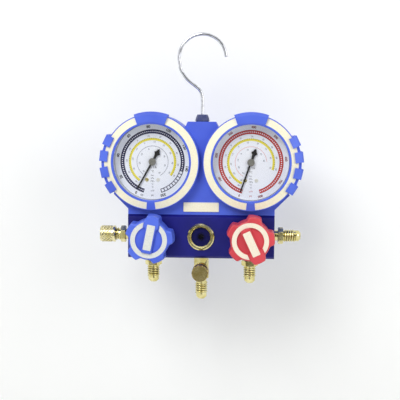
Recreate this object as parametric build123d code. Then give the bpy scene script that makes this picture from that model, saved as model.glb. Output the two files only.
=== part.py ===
from build123d import *
from math import asin, atan2, cos, degrees, pi, radians, sin, sqrt, tan
import os

# Two-valve refrigerant manifold with two Bourdon gauges, in millimetres.
# Everything is laid out about the centre of the valve block: X to the right, Y to the back,
# Z up. "Forward" distances are measured from the port plane towards the front (-Y).
# Export moves the whole assembly down, so that the point where the hook hangs is the origin.

# Valve block: bar of anodised aluminium, with the valves, gauges and hose ports at two stations
block_width = 127.0
block_depth = 30.0
block_height = 37.8
block_front_chamfer = 2.0
block_edge_chamfer = 0.6
station = 42.6
passage_radius = 2.0
cross_passage_back = 8.2
seat_hole_back = 10.8

# Flare fittings, 1/4 in SAE (7/16-20 UNF), all alike
thread_radius = 5.556
thread_length = 10.9
fitting_hex_flats = 12.7
fitting_hex_length = 4.7
neck_radius = 4.5
neck_length = 3.4
nose_radius = 4.7
nose_relief = 2.4
nose_tip_radius = 2.9
fitting_bore = 2.2
spigot_radius = 4.6
spigot_length = 8.0
spigot_gap = 0.03

# Centre tee: second service port pointing forward, main one pointing down
tee_hex_length = 19.0
tee_neck_length = 3.8
tee_branch_drop = 11.0
tee_branch_boss = 5.9
tee_branch_reach = 12.0

# Knurled port caps with their sealing discs
cap_radius = 7.2
cap_length = 13.4
cap_collar = 2.0
cap_groove_width = 0.7
cap_groove_depth = 0.6
cap_end_wall = 1.5
cap_seal_thickness = 1.3
thread_clearance = 0.08

# Depressor cores in the two side ports
core_radius = 2.1
core_length = 12.0
core_pin_radius = 0.75
core_pin_head_radius = 1.35
core_pin_head = 0.6
core_pin_length = 10.0
core_pin_set_back = 0.6
core_pin_travel = 1.5

# Sight glass in the block's front face
glass_ring_radius = 11.6
glass_ring_opening = 8.3
glass_ring_stand = 2.8
glass_ring_bevel = 1.0
glass_skirt_radius = 10.0
glass_skirt_length = 5.5
glass_lens_radius = 9.2
glass_lens_thickness = 3.6
glass_seal_thickness = 1.5
glass_chamber_radius = 6.6
glass_chamber_back = 11.0

# Valves behind the knobs
bonnet_hex_flats = 19.0
bonnet_hex_length = 5.5
bonnet_skirt_radius = 7.9
bonnet_skirt_length = 10.0
chamber_radius = 7.0
chamber_back = 2.6
seat_depth = 3.0
seat_radius = 2.2
piston_radius = 6.5
piston_back = 1.5
piston_nose_radius = 2.4
stem_radius = 3.0
stem_neck_radius = 1.5
stem_neck_length = 1.5
stem_head_radius = 2.4
stem_head_length = 1.6
swivel_clearance = 0.1
valve_ring_outer = 4.8
valve_ring_width = 2.0

# Knobs: five-lobed mouldings with a cream ring and pointer bar let in
knob_back = 25.0
knob_face = 41.0
knob_base_radius = 17.4
knob_lobe_radius = 20.9
knob_lobe_root_width = 15.6
knob_lobe_tip_width = 10.4
knob_taper = 2.0
knob_lobe_count = 5
knob_corner_radius = 1.9
knob_edge_radius = 1.6
knob_wall = 2.2
knob_top_wall = 3.4
knob_hub_radius = 5.4
knob_disc_radius = 11.2
knob_disc_depth = 1.2
knob_ring_inner = 11.5
knob_ring_outer = 15.5
knob_ring_depth = 1.0
knob_ring_gap_width = 13.8
knob_rib_height = 2.0
knob_rib_width = 8.6
knob_rib_lobe_width = 12.4
knob_rib_flare_radius = 8.6
knob_bar_width = 6.8
knob_bar_out = 13.1
knob_bar_in = 8.5
knob_bar_depth = 1.0
knob_bar_proud = 0.3
knob_screw_head = 2.5
knob_screw_radius = 1.25
low_knob_angle = 11.0
high_knob_angle = 155.0

# Gauge housing: one moulding around both gauges, closed by a rear cover
case_radius = 34.2
case_gap = 0.1
ring_lip_width = 1.8
strip_width = 6.0
ring_rim_width = 0.9
ring_foot_gap = 4.4
ring_front = 24.2
ring_edge_front = 22.4
strip_thickness = 1.0
housing_wall = 2.3
plate_front = 13.0
plate_thickness = 2.5
cover_thickness = 2.1
sleeve_thickness = 1.9
sleeve_back = 6.0
lens_seat = 21.0
plate_side_rise = 4.9
slant_head_out = 33.7
slant_head_drop = 27.9
crown_half_width = 12.0
crown_rise = 34.8
shoulder_half_width = 13.7
shoulder_rise = 31.2
top_block_half_angle = 20.0
top_block_proud = 1.9
top_block_front = 25.6
bottom_gap_half_angle = 5.6
lug_angles = (26.0, 7.0, -12.5, -32.0)
lug_bite = 3.9
lug_proud = 3.4
lug_width = 9.0
lug_front = 25.0
lug_outer_front = 22.6
lug_back = -9.0
lug_band_proud = 1.7
lug_band_front = 21.0
lug_band_half_angle = 33.0
ring_seam_turn = 110.0
name_plate_length = 30.8
name_plate_width = 8.2
name_plate_rise = 6.7
name_plate_thickness = 1.4
name_plate_inset = 0.5
name_plate_corner = 0.8

# Housing screws and their bosses
boss_radius = 3.0
screw_radius = 1.2
screw_head_radius = 2.3
screw_head_depth = 1.1
screw_length = 9.0
foot_screw_inset = 7.0
foot_screw_rise = 5.9
middle_screw_rise = 17.5
upper_screw_gap = 2.0
block_screw_offset = 24.0
block_screw_length = 8.0

# Hook, its ferrule and the nut that holds it
wire_radius = 1.45
bow_radius = 20.4
bow_centre_x = -0.2
bow_centre_rise = 55.2
bow_lower_radius = 26.0
bow_tip_angle = 22.0
bow_leave_angle = 228.0
tip_straight = 6.5
shank_bend_radius = 7.0
hook_boss_radius = 5.0
hook_boss_length = 11.3
hook_nut_radius = 3.4
hook_nut_height = 3.2
hook_tail = 0.8
swivel_gap = 0.06
ferrule_foot = 0.6
ferrule_base_radius = 6.25
ferrule_top_radius = 4.55
ferrule_height = 5.6
ferrule_facets = 8

# Bourdon gauges
case_wall = 1.0
case_front = 18.1
case_back = -10.0
gasket_thickness = 1.0
gasket_width = 1.3
dial_gap = 0.4
dial_front = 10.3
dial_thickness = 0.6
dial_screw_offset = 4.9
dial_screw_drop = 15.7
dial_post_radius = 1.7
dial_screw_radius = 0.8
dial_screw_head = 1.6
dial_screw_head_height = 0.7
dial_screw_length = 4.0
pointer_length = 26.9
pointer_tail = 12.9
pointer_plane = 12.0
pointer_thickness = 0.4
pointer_hub_radius = 2.7
pointer_hub_back = 11.3
pointer_hub_front = 13.2
low_pointer_angle = 210.0
high_pointer_angle = 200.0

# Gauge movement: tooth counts and module set the distance from pinion to sector
gear_module = 0.25
pinion_teeth = 10
sector_teeth = 95
sector_teeth_before = 2
sector_teeth_after = 12
tooth_addendum = 0.85
tooth_dedendum = 1.25
tooth_root_share = 0.56
tooth_tip_share = 0.2
sector_direction = -40.6
sector_plane = 1.0
sector_thickness = 1.0
tail_length = 4.5
tail_mid_angle = 20.3
pointer_sweep = 324.0
arbor_radius = 0.6
sector_arbor_radius = 0.8
running_clearance = 0.06
front_plate_back = 5.0
back_plate_back = -2.0
movement_plate_thickness = 1.0
movement_left = -9.0
movement_right = 15.5
movement_low = -19.0
movement_high = 9.5
pillar_radius = 1.2
pillar_places = ((-6.5, 6.8), (12.5, 6.8), (-6.5, -12.5), (11.0, -16.2))
tube_radius = 25.0
tube_radial = 3.0
tube_height = 8.0
tube_wall = 0.5
tube_rounding = 1.0
tube_root_angle = 251.6
tube_tip_angle = -33.0
tube_plug_angle = 6.0
tube_tip_pin = (17.0, -14.5)
tip_pin_radius = 0.6
tail_pin_radius = 0.5
link_thickness = 0.8
link_width = 1.8
link_eye_radius = 1.35
link_open_clearance = 0.35
socket_half_width = 7.0
socket_top = -22.5
socket_front = 4.0
socket_back = -6.0
tongue_half_width = 4.5
tongue_top = -14.0
socket_stem_radius = 6.0
stem_hole_clearance = 0.2
gauge_spigot_radius = 4.8
socket_bore = 1.5

# Worked-out places
beyond = 60.0
block_top = block_height / 2
block_front = block_depth / 2
cover_front = cover_thickness - block_front
ring_lip_outer = case_radius + case_gap
ring_opening = ring_lip_outer - ring_lip_width
ring_groove_outer = ring_lip_outer + strip_width
ring_outer = ring_groove_outer + ring_rim_width
gauge_height = block_top + ring_foot_gap + ring_outer
crown_height = gauge_height + crown_rise
shoulder_height = gauge_height + shoulder_rise
top_block_inner = ring_opening + case_gap
top_block_outer = ring_outer + top_block_proud
lug_inner = ring_outer - lug_bite
lug_outer = ring_outer + lug_proud
lug_band_outer = ring_outer + lug_band_proud
sleeve_outer = ring_lip_outer + sleeve_thickness
crown_screw_radius = (sleeve_outer + ring_outer - housing_wall) / 2
hook_boss_foot = crown_height - hook_boss_length
bow_centre_height = crown_height + bow_centre_rise
dial_radius = case_radius - case_wall - dial_gap
gasket_inner = case_radius - gasket_width
nose_cone = nose_radius - nose_tip_radius
fitting_length = neck_length + fitting_hex_length + thread_length + nose_relief + nose_cone
gauge_drop = block_top - gauge_height
sector_distance = gear_module * (pinion_teeth + sector_teeth) / 2
sector_ratio = sector_teeth / pinion_teeth
hang_height = bow_centre_height + bow_radius - wire_radius


def slab(sketch, back, front):
    """A prism that faces the front, between two forward distances."""
    return extrude(Plane.XZ.offset(back) * sketch, front - back)


def turned(points):
    """A turned piece about Z, from its (radius, height) half section."""
    section = make_face(Polyline([(radius, 0, height) for radius, height in points], close=True))
    return revolve(section, Axis.Z)


def facing_front(piece):
    """Turn a piece built along +Z so that it points forward."""
    return Rot(X=90) * piece


def at_gauge(piece, side):
    return Pos(side * station, 0, gauge_height) * piece


def upright_bore(radius, low, high):
    return Pos(0, 0, (low + high) / 2) * Cylinder(radius, high - low)


def polar(radius, angle):
    """A point in the front view, by its angle anticlockwise from the right."""
    return (radius * cos(radians(angle)), radius * sin(radians(angle)))


def sector_sketch(radius, start, end):
    """A pie slice in the front view, wide enough for every use here."""
    middle = (start + end) / 2
    corner = radius / cos(radians((end - start) / 4))
    points = [
        (0, 0),
        polar(corner, start),
        polar(corner, middle),
        polar(corner, end),
    ]
    return make_face(Polyline(points, close=True))


def hexagon(across_flats):
    return RegularPolygon(across_flats / sqrt(3), 6)


def fitting_outline(start):
    """Half section of thread and flare nose, from the height where the thread starts."""
    thread_end = start + thread_length
    return [
        (thread_radius, start),
        (thread_radius, thread_end),
        (nose_radius, thread_end),
        (nose_radius, thread_end + nose_relief),
        (nose_tip_radius, thread_end + nose_relief + nose_cone),
        (fitting_bore, thread_end + nose_relief + nose_cone),
    ]


def flare_fitting():
    """Fitting standing on the block's face at height 0, with its spigot below."""
    body = turned(
        [
            (fitting_bore, -spigot_length),
            (spigot_radius, -spigot_length),
            (spigot_radius, 0),
            (neck_radius, 0),
            (neck_radius, neck_length + fitting_hex_length),
        ]
        + fitting_outline(neck_length + fitting_hex_length)
    )
    nut = extrude(Pos(0, 0, neck_length) * hexagon(fitting_hex_flats), fitting_hex_length)
    crown = turned(
        [
            (0, neck_length),
            (fitting_hex_flats / 2, neck_length),
            (fitting_hex_flats / sqrt(3), neck_length + 0.5),
            (fitting_hex_flats / sqrt(3), neck_length + fitting_hex_length - 0.5),
            (fitting_hex_flats / 2, neck_length + fitting_hex_length),
            (0, neck_length + fitting_hex_length),
        ]
    )
    bore = upright_bore(fitting_bore, neck_length, neck_length + fitting_hex_length)
    return body + (nut & crown) - bore


def port_cap():
    """Cap in the fitting's own frame: its closed end lies beyond the flare nose."""
    end = fitting_length + cap_seal_thickness + cap_end_wall + swivel_clearance
    mouth = end - cap_length
    inside = end - cap_end_wall
    bore = thread_radius + thread_clearance
    return turned(
        [
            (bore, mouth),
            (cap_radius - 0.4, mouth),
            (cap_radius, mouth + 0.4),
            (cap_radius, mouth + cap_collar),
            (cap_radius - cap_groove_depth, mouth + cap_collar),
            (cap_radius - cap_groove_depth, mouth + cap_collar + cap_groove_width),
            (cap_radius, mouth + cap_collar + cap_groove_width),
            (cap_radius, end - 0.5),
            (cap_radius - 0.5, end),
            (0, end),
            (0, inside),
            (bore, inside),
        ]
    )


def port_cap_seal():
    low = fitting_length + swivel_clearance
    return upright_bore(thread_radius - 0.4, low, low + cap_seal_thickness)


def valve_core():
    """Core body pressed in the fitting's bore, with the hole for its pin."""
    stop = core_pin_travel + core_pin_head + swivel_clearance
    end = fitting_length - core_pin_set_back - stop
    bore = core_pin_radius + running_clearance
    return upright_bore(core_radius, end - core_length, end) - upright_bore(bore, end - core_length, end)


def core_pin():
    end = fitting_length - core_pin_set_back
    shank = upright_bore(core_pin_radius, end - core_pin_length, end)
    head = upright_bore(core_pin_head_radius, end - core_pin_head, end)
    return shank + head


def place_port(piece, direction, x):
    """Move a piece from the fitting's frame to a face of the block."""
    turns = {"down": Rot(X=180), "left": Rot(Y=-90), "right": Rot(Y=90)}
    starts = {
        "down": Pos(x, 0, -block_top),
        "left": Pos(-block_width / 2, 0, 0),
        "right": Pos(block_width / 2, 0, 0),
    }
    return starts[direction] * turns[direction] * piece


def manifold_block():
    block = Box(block_width, block_depth, block_height)
    front = block.faces().sort_by(Axis.Y)[0]
    long_edges = front.edges().filter_by(Axis.X)
    block = chamfer(long_edges, block_front_chamfer)
    front = block.faces().sort_by(Axis.Y)[0]
    block = chamfer(front.edges().filter_by(Axis.Z), block_edge_chamfer)
    valve_bore = facing_front(
        turned(
            [
                (0, -seat_hole_back),
                (seat_radius, -seat_hole_back),
                (seat_radius, -chamber_back - seat_depth),
                (chamber_radius, -chamber_back),
                (chamber_radius, block_front - bonnet_skirt_length),
                (bonnet_skirt_radius, block_front - bonnet_skirt_length),
                (bonnet_skirt_radius, block_front),
                (0, block_front),
            ]
        )
    )
    bore_depth = spigot_length + spigot_gap
    port_bore = upright_bore(spigot_radius + spigot_gap, -block_top, -block_top + bore_depth)
    gauge_bore = upright_bore(gauge_spigot_radius + spigot_gap, block_top - bore_depth, block_top)
    gallery = upright_bore(passage_radius, -block_top, block_top)
    for side in (-1, 1):
        block -= Pos(side * station, 0, 0) * (valve_bore + port_bore + gauge_bore + gallery)
    glass_floor = block_front - glass_skirt_length
    glass_bore = facing_front(
        turned(
            [
                (0, -glass_chamber_back),
                (glass_chamber_radius, -glass_chamber_back),
                (glass_chamber_radius, glass_floor),
                (glass_skirt_radius, glass_floor),
                (glass_skirt_radius, block_front),
                (0, block_front),
            ]
        )
    )
    block -= glass_bore + port_bore + upright_bore(passage_radius, -block_top, 0)
    cross = Rot(Y=90) * Cylinder(passage_radius, 2 * station + 1.0)
    block -= Pos(0, cross_passage_back, 0) * cross
    side_spigot = Rot(Y=90) * Cylinder(spigot_radius + spigot_gap, bore_depth)
    side_reach = block_width / 2 - station
    side_passage = Rot(Y=90) * Cylinder(passage_radius, side_reach)
    for side in (-1, 1):
        block -= Pos(side * (block_width - bore_depth) / 2, 0, 0) * side_spigot
        block -= Pos(side * (station + side_reach / 2), 0, 0) * side_passage
        screw_hole = Cylinder(screw_radius, block_screw_length)
        block -= Pos(side * block_screw_offset, 0, block_top - block_screw_length / 2) * screw_hole
    return block


def centre_tee():
    """Tee built downward from the block: hexagon, neck and flare, with a branch to the front."""
    lower_thread = tee_hex_length + tee_neck_length
    body = turned(
        [
            (fitting_bore, -spigot_length),
            (spigot_radius, -spigot_length),
            (spigot_radius, 0),
            (neck_radius, 0),
            (neck_radius, lower_thread),
        ]
        + fitting_outline(lower_thread)
    )
    bar = extrude(Rot(Z=30) * hexagon(fitting_hex_flats), tee_hex_length)
    branch = turned(
        [
            (0, 0),
            (tee_branch_boss, 0),
            (tee_branch_boss, tee_branch_reach - 2.0),
            (neck_radius, tee_branch_reach - 2.0),
            (neck_radius, tee_branch_reach),
        ]
        + fitting_outline(tee_branch_reach)
        + [(0, tee_branch_reach + thread_length + nose_relief + nose_cone)]
    )
    branch_end = tee_branch_reach + thread_length + nose_relief + nose_cone
    tee = Rot(X=180) * (body + bar - upright_bore(fitting_bore, 0, tee_hex_length))
    tee += Pos(0, 0, -tee_branch_drop) * facing_front(branch)
    tee -= Pos(0, 0, -tee_branch_drop) * facing_front(upright_bore(fitting_bore, 0, branch_end))
    tee -= upright_bore(fitting_bore, -tee_hex_length, 0)
    return Pos(0, 0, -block_top) * tee


def place_on_branch(piece):
    """Move a piece from the fitting's frame to the tee's forward branch."""
    shift = tee_branch_reach - neck_length - fitting_hex_length
    height = -block_top - tee_branch_drop
    return Pos(0, -shift, height) * facing_front(piece)


def sight_glass_retainer():
    front = block_front + glass_ring_stand
    inner = front - glass_ring_bevel
    shelf = block_front - glass_skirt_length + glass_seal_thickness + glass_lens_thickness
    return facing_front(
        turned(
            [
                (glass_lens_radius, block_front - glass_skirt_length),
                (glass_skirt_radius, block_front - glass_skirt_length),
                (glass_skirt_radius, block_front),
                (glass_ring_radius, block_front),
                (glass_ring_radius, front - glass_ring_bevel),
                (glass_ring_radius - glass_ring_bevel, front),
                (glass_ring_opening + glass_ring_bevel, front),
                (glass_ring_opening, inner),
                (glass_ring_opening, shelf),
                (glass_lens_radius, shelf),
            ]
        )
    )


def sight_glass_lens():
    back = block_front - glass_skirt_length + glass_seal_thickness
    return slab(Circle(glass_lens_radius), back, back + glass_lens_thickness)


def sight_glass_seal():
    back = block_front - glass_skirt_length
    ring = Circle(glass_lens_radius) - Circle(glass_chamber_radius)
    return slab(ring, back, back + glass_seal_thickness)


def valve_bonnet():
    skirt_back = block_front - bonnet_skirt_length
    bore = stem_radius + running_clearance
    ring_middle = skirt_back + bonnet_skirt_length / 2
    body = slab(hexagon(bonnet_hex_flats), block_front, block_front + bonnet_hex_length)
    body += slab(Circle(bonnet_skirt_radius), skirt_back, block_front)
    body -= slab(Circle(bore), skirt_back, block_front + bonnet_hex_length)
    groove = Circle(valve_ring_outer)
    return body - slab(groove, ring_middle - valve_ring_width / 2, ring_middle + valve_ring_width / 2)


def valve_stem_seal():
    middle = block_front - bonnet_skirt_length / 2
    ring = Circle(valve_ring_outer) - Circle(stem_radius + running_clearance)
    return slab(ring, middle - valve_ring_width / 2, middle + valve_ring_width / 2)


def valve_piston():
    """Seat disc that swivels on the stem's head, so it moves without turning."""
    head_front = piston_back - stem_neck_length + swivel_clearance
    head_back = piston_back - stem_neck_length - stem_head_length - swivel_clearance
    lift = swivel_clearance
    return facing_front(
        turned(
            [
                (0, -chamber_back - seat_depth + lift),
                (piston_nose_radius, -chamber_back - seat_depth + lift + 0.3),
                (piston_radius, -chamber_back + lift),
                (piston_radius, piston_back),
                (stem_neck_radius + swivel_clearance, piston_back),
                (stem_neck_radius + swivel_clearance, head_front),
                (stem_head_radius + swivel_clearance, head_front),
                (stem_head_radius + swivel_clearance, head_back),
                (0, head_back),
            ]
        )
    )


def valve_stem():
    neck_front = piston_back + swivel_clearance
    neck_back = piston_back - stem_neck_length
    front = knob_face - knob_top_wall
    return facing_front(
        turned(
            [
                (0, neck_back - stem_head_length),
                (stem_head_radius, neck_back - stem_head_length),
                (stem_head_radius, neck_back),
                (stem_neck_radius, neck_back),
                (stem_neck_radius, neck_front),
                (stem_radius, neck_front),
                (stem_radius, front),
                (knob_screw_radius, front),
                (knob_screw_radius, front - 4.0),
                (0, front - 4.0),
            ]
        )
    )


def lobe_outline():
    """Round knob with lobes; the pointer lobe is at the top of the sketch."""
    outline = Circle(knob_base_radius)
    root = knob_lobe_root_width / 2
    tip = knob_lobe_tip_width / 2
    foot = knob_base_radius - 2 * knob_corner_radius
    corners = [(-root, foot), (root, foot), (tip, knob_lobe_radius), (-tip, knob_lobe_radius)]
    lobe = make_face(Polyline(corners, close=True)) & Circle(knob_lobe_radius)
    for index in range(knob_lobe_count):
        outline += Rot(Z=index * 360 / knob_lobe_count) * lobe
    return fillet(outline.vertices(), knob_corner_radius)


def rib_outline():
    """Pointer rib: straight sided across the disc, wider where it runs into its lobe."""
    foot = -knob_disc_radius
    half = knob_rib_width / 2
    lobe_half = knob_rib_lobe_width / 2
    tip_half = knob_lobe_tip_width / 2 - 0.6
    reach = knob_lobe_radius - 1.2
    points = [
        (-half, foot),
        (half, foot),
        (half, knob_rib_flare_radius),
        (lobe_half, knob_ring_inner),
        (lobe_half, knob_ring_outer),
        (tip_half, reach),
        (-tip_half, reach),
        (-lobe_half, knob_ring_outer),
        (-lobe_half, knob_ring_inner),
        (-half, knob_rib_flare_radius),
    ]
    return make_face(Polyline(points, close=True)) & Circle(reach)


def bar_outline():
    middle = (knob_bar_out - knob_bar_in) / 2
    return Pos(0, middle) * RectangleRounded(knob_bar_width, knob_bar_out + knob_bar_in, 0.8)


def ring_inlay_outline():
    """Cream ring, open around the pointer lobe."""
    ring = Circle(knob_ring_outer) - Circle(knob_ring_inner)
    return ring - Pos(0, knob_ring_outer) * Rectangle(knob_ring_gap_width, 2 * knob_ring_outer)


def knob(angle):
    inside = knob_face - knob_top_wall
    rib_front = knob_face + knob_rib_height
    body = extrude(Plane.XZ.offset(knob_back) * lobe_outline(), knob_face - knob_back, taper=knob_taper)
    body = fillet(body.faces().sort_by(Axis.Y)[0].edges(), knob_edge_radius)
    body -= slab(Circle(knob_base_radius - knob_wall) - Circle(knob_hub_radius), knob_back, inside)
    body -= slab(Circle(knob_disc_radius), knob_face - knob_disc_depth, knob_face)
    rib = slab(rib_outline(), knob_face - knob_disc_depth, rib_front)
    rib = chamfer(rib.faces().sort_by(Axis.Y)[0].edges(), 0.5)
    body += rib
    body -= slab(ring_inlay_outline(), knob_face - knob_ring_depth, rib_front + 1)
    body -= slab(bar_outline(), rib_front - knob_bar_depth, rib_front)
    body -= slab(Circle(stem_radius), knob_back, inside)
    body -= slab(Circle(knob_screw_radius), inside, rib_front)
    body -= slab(Circle(knob_screw_head), inside + 1.4, rib_front)
    return Rot(Y=angle) * body


def knob_inlay(angle):
    """Ring and bar, two pale pieces pressed into the knob's face."""
    rib_front = knob_face + knob_rib_height
    ring = slab(ring_inlay_outline(), knob_face - knob_ring_depth, knob_face)
    bar = slab(bar_outline(), rib_front - knob_bar_depth, rib_front + knob_bar_proud)
    bar = chamfer(bar.faces().sort_by(Axis.Y)[0].edges(), 0.2)
    return Rot(Y=angle) * Compound([ring, bar])


def knob_screw():
    inside = knob_face - knob_top_wall
    head = slab(Circle(knob_screw_head - 0.1), inside + 1.4, inside + 3.0)
    return head + slab(Circle(knob_screw_radius), inside - 3.8, inside + 1.4)


def housing_outline():
    """Front view of the housing without its grip lugs."""
    right = [
        (block_width / 2, block_top),
        (block_width / 2, block_top + plate_side_rise),
        (station + slant_head_out, gauge_height - slant_head_drop),
        (station, gauge_height),
        (shoulder_half_width, shoulder_height),
        (crown_half_width, crown_height),
    ]
    left = [(-x, z) for x, z in reversed(right)]
    outline = make_face(Polyline(right + left, close=True))
    for side in (-1, 1):
        outline += Pos(side * station, gauge_height) * Circle(ring_outer)
    return outline


def ring_profile():
    """Half section of one gauge ring: lip, groove for the strip, outer wall and inner sleeve."""
    inner_wall = ring_outer - housing_wall
    shelf = lens_seat - 1.0
    back = cover_front
    return [
        (ring_opening, lens_seat),
        (ring_opening, ring_front - 0.5),
        (ring_opening + 0.5, ring_front),
        (ring_lip_outer, ring_front),
        (ring_lip_outer, ring_front - strip_thickness),
        (ring_groove_outer, ring_edge_front - strip_thickness),
        (ring_groove_outer, ring_edge_front),
        (ring_outer - 0.3, ring_edge_front - 0.1),
        (ring_outer, ring_edge_front - 0.5),
        (ring_outer, back),
        (inner_wall, back),
        (inner_wall, shelf - 1.0),
        (inner_wall - 1.0, shelf),
        (sleeve_outer, shelf),
        (sleeve_outer, sleeve_back),
        (ring_lip_outer, sleeve_back),
        (ring_lip_outer, lens_seat),
    ]


def top_block():
    """Raised sector at twelve o'clock, tapered to the ring's slope."""
    wedge = sector_sketch(top_block_outer + 1, 90 - top_block_half_angle, 90 + top_block_half_angle)
    section = turned(
        [
            (top_block_inner, ring_front - 1.2),
            (top_block_inner, ring_front + 0.4),
            (ring_lip_outer, top_block_front),
            (ring_groove_outer, top_block_front),
            (top_block_outer, ring_edge_front),
            (top_block_outer, plate_front),
            (ring_outer - 1.0, plate_front),
            (ring_outer - 1.0, ring_edge_front - 1.6),
        ]
    )
    return facing_front(section) & slab(wedge, -beyond, beyond)


def bottom_bridge():
    """Blue bridge between the two strips at six o'clock."""
    wedge = sector_sketch(ring_outer, 270 - bottom_gap_half_angle, 270 + bottom_gap_half_angle)
    section = turned(
        [
            (ring_lip_outer, ring_front - strip_thickness - 0.6),
            (ring_lip_outer, ring_front),
            (ring_groove_outer, ring_edge_front),
            (ring_groove_outer, ring_edge_front - strip_thickness - 0.6),
        ]
    )
    return facing_front(section) & slab(wedge, -beyond, beyond)


def grip_lug(angle):
    """One grip lug on a ring, sloping back towards its outer end."""
    side_view = [
        (lug_inner, lug_front),
        (lug_outer - 1.2, lug_outer_front + 0.3),
        (lug_outer, lug_outer_front - 1.0),
        (lug_outer, lug_back),
        (ring_outer - 0.6, lug_back),
        (ring_outer - 0.6, ring_edge_front - 2.0),
        (lug_inner, ring_edge_front - 1.0),
    ]
    face = make_face(Polyline([(radius, 0, forward) for radius, forward in side_view], close=True))
    lug = extrude(face, lug_width / 2, both=True)
    return Rot(Y=-angle) * facing_front(lug)


def grips(side):
    """The lugs on the outer side of one ring and the narrow band between them."""
    facing = 90 + 90 * -side
    ring = Circle(lug_band_outer) - Circle(ring_outer - 1.0)
    half_band = lug_band_half_angle
    wedge = sector_sketch(lug_band_outer + 1, facing - half_band, facing + half_band)
    piece = slab(ring & wedge, lug_back, lug_band_front)
    for angle in lug_angles:
        piece += grip_lug(facing + side * angle)
    return at_gauge(piece, side)


def boss_places():
    """Screws of the rear cover: two at the foot, two on the centre line, one above each gauge."""
    foot = block_top + foot_screw_rise
    across = block_width / 2 - foot_screw_inset
    crown = gauge_height + crown_screw_radius
    upper = hook_boss_foot - hook_nut_height - hook_tail - upper_screw_gap - boss_radius
    return (
        (across, foot),
        (-across, foot),
        (0.0, block_top + middle_screw_rise),
        (0.0, upper),
        (station, crown),
        (-station, crown),
    )


def gauge_housing():
    outline = housing_outline()
    plate_back = plate_front - plate_thickness
    gauges = [Pos(side * station, gauge_height) for side in (-1, 1)]
    body = slab(outline, cover_front, plate_front)
    body -= slab(offset(outline, -housing_wall), cover_front, plate_back)
    for gauge in gauges:
        body -= slab(gauge * Circle(ring_outer - 0.01), cover_front, plate_front)
    ring = Rot(Y=ring_seam_turn) * facing_front(turned(ring_profile()))
    for side in (-1, 1):
        body += at_gauge(ring + top_block() + bottom_bridge(), side)
        body += grips(side)
    for x, z in boss_places():
        forward = plate_back if abs(x) != station else lens_seat - 1.0
        boss = slab(Pos(x, z) * Circle(boss_radius), cover_front, forward)
        body += boss - at_gauge(slab(Circle(ring_lip_outer), -beyond, beyond), 1 if x > 0 else -1)
    body += upright_bore(hook_boss_radius, hook_boss_foot, crown_height - 0.1)
    for x, z in boss_places():
        hole_front = cover_front + screw_length
        body -= slab(Pos(x, z) * Circle(screw_radius), cover_front, hole_front)
    body -= upright_bore(wire_radius + running_clearance, hook_boss_foot, crown_height)
    stem_hole = socket_stem_radius + stem_hole_clearance
    for side in (-1, 1):
        hole = upright_bore(stem_hole, block_top, gauge_height - case_radius)
        body -= Pos(side * station, 0, 0) * hole
        screw_hole = upright_bore(screw_radius, block_top, block_top + housing_wall)
        body -= Pos(side * block_screw_offset, 0, 0) * screw_hole
    inset = plate_front - name_plate_inset
    body -= slab(name_plate_outline(), inset, plate_front)
    return body


def name_plate_outline():
    place = Pos(0, block_top + name_plate_rise)
    return place * RectangleRounded(name_plate_length, name_plate_width, name_plate_corner)


def name_plate():
    inset = plate_front - name_plate_inset
    plate = slab(name_plate_outline(), inset, inset + name_plate_thickness)
    return chamfer(plate.faces().sort_by(Axis.Y)[0].edges(), 0.3)


def glow_strips():
    """Four pale arcs let into the two rings, notched around the grip lugs."""
    section = turned(
        [
            (ring_lip_outer, ring_front - strip_thickness),
            (ring_lip_outer, ring_front),
            (ring_groove_outer, ring_edge_front),
            (ring_groove_outer, ring_edge_front - strip_thickness),
        ]
    )
    ring = facing_front(section)
    top = sector_sketch(2 * ring_outer, 90 - top_block_half_angle, 90 + top_block_half_angle)
    bottom = sector_sketch(2 * ring_outer, 270 - bottom_gap_half_angle, 270 + bottom_gap_half_angle)
    ring -= slab(top, -beyond, beyond)
    ring -= slab(bottom, -beyond, beyond)
    arcs = []
    for side in (-1, 1):
        arcs += list((at_gauge(ring, side) - grips(side)).solids())
    return Compound(arcs)


def rear_cover():
    back = cover_front - cover_thickness
    cover = slab(housing_outline(), back, cover_front)
    cover = chamfer(cover.faces().sort_by(Axis.Y)[-1].edges(), 0.5)
    for x, z in boss_places():
        cover -= slab(Pos(x, z) * Circle(screw_radius), back, cover_front)
        cover -= slab(Pos(x, z) * Circle(screw_head_radius), back, back + screw_head_depth)
    return cover


def housing_screws():
    """Cover screws from the back, and two screws down into the block."""
    back = cover_front - cover_thickness
    screws = []
    for x, z in boss_places():
        head = slab(Pos(x, z) * Circle(screw_head_radius), back, back + screw_head_depth)
        shank_end = cover_front + screw_length - 1.0
        screws.append(head + slab(Pos(x, z) * Circle(screw_radius), back, shank_end))
    floor = block_top + housing_wall
    for side in (-1, 1):
        shank = upright_bore(screw_radius, block_top - block_screw_length + 1.0, floor)
        head = upright_bore(screw_head_radius, floor, floor + screw_head_depth)
        screws.append(Pos(side * block_screw_offset, 0, 0) * (shank + head))
    return Compound(screws)


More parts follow.
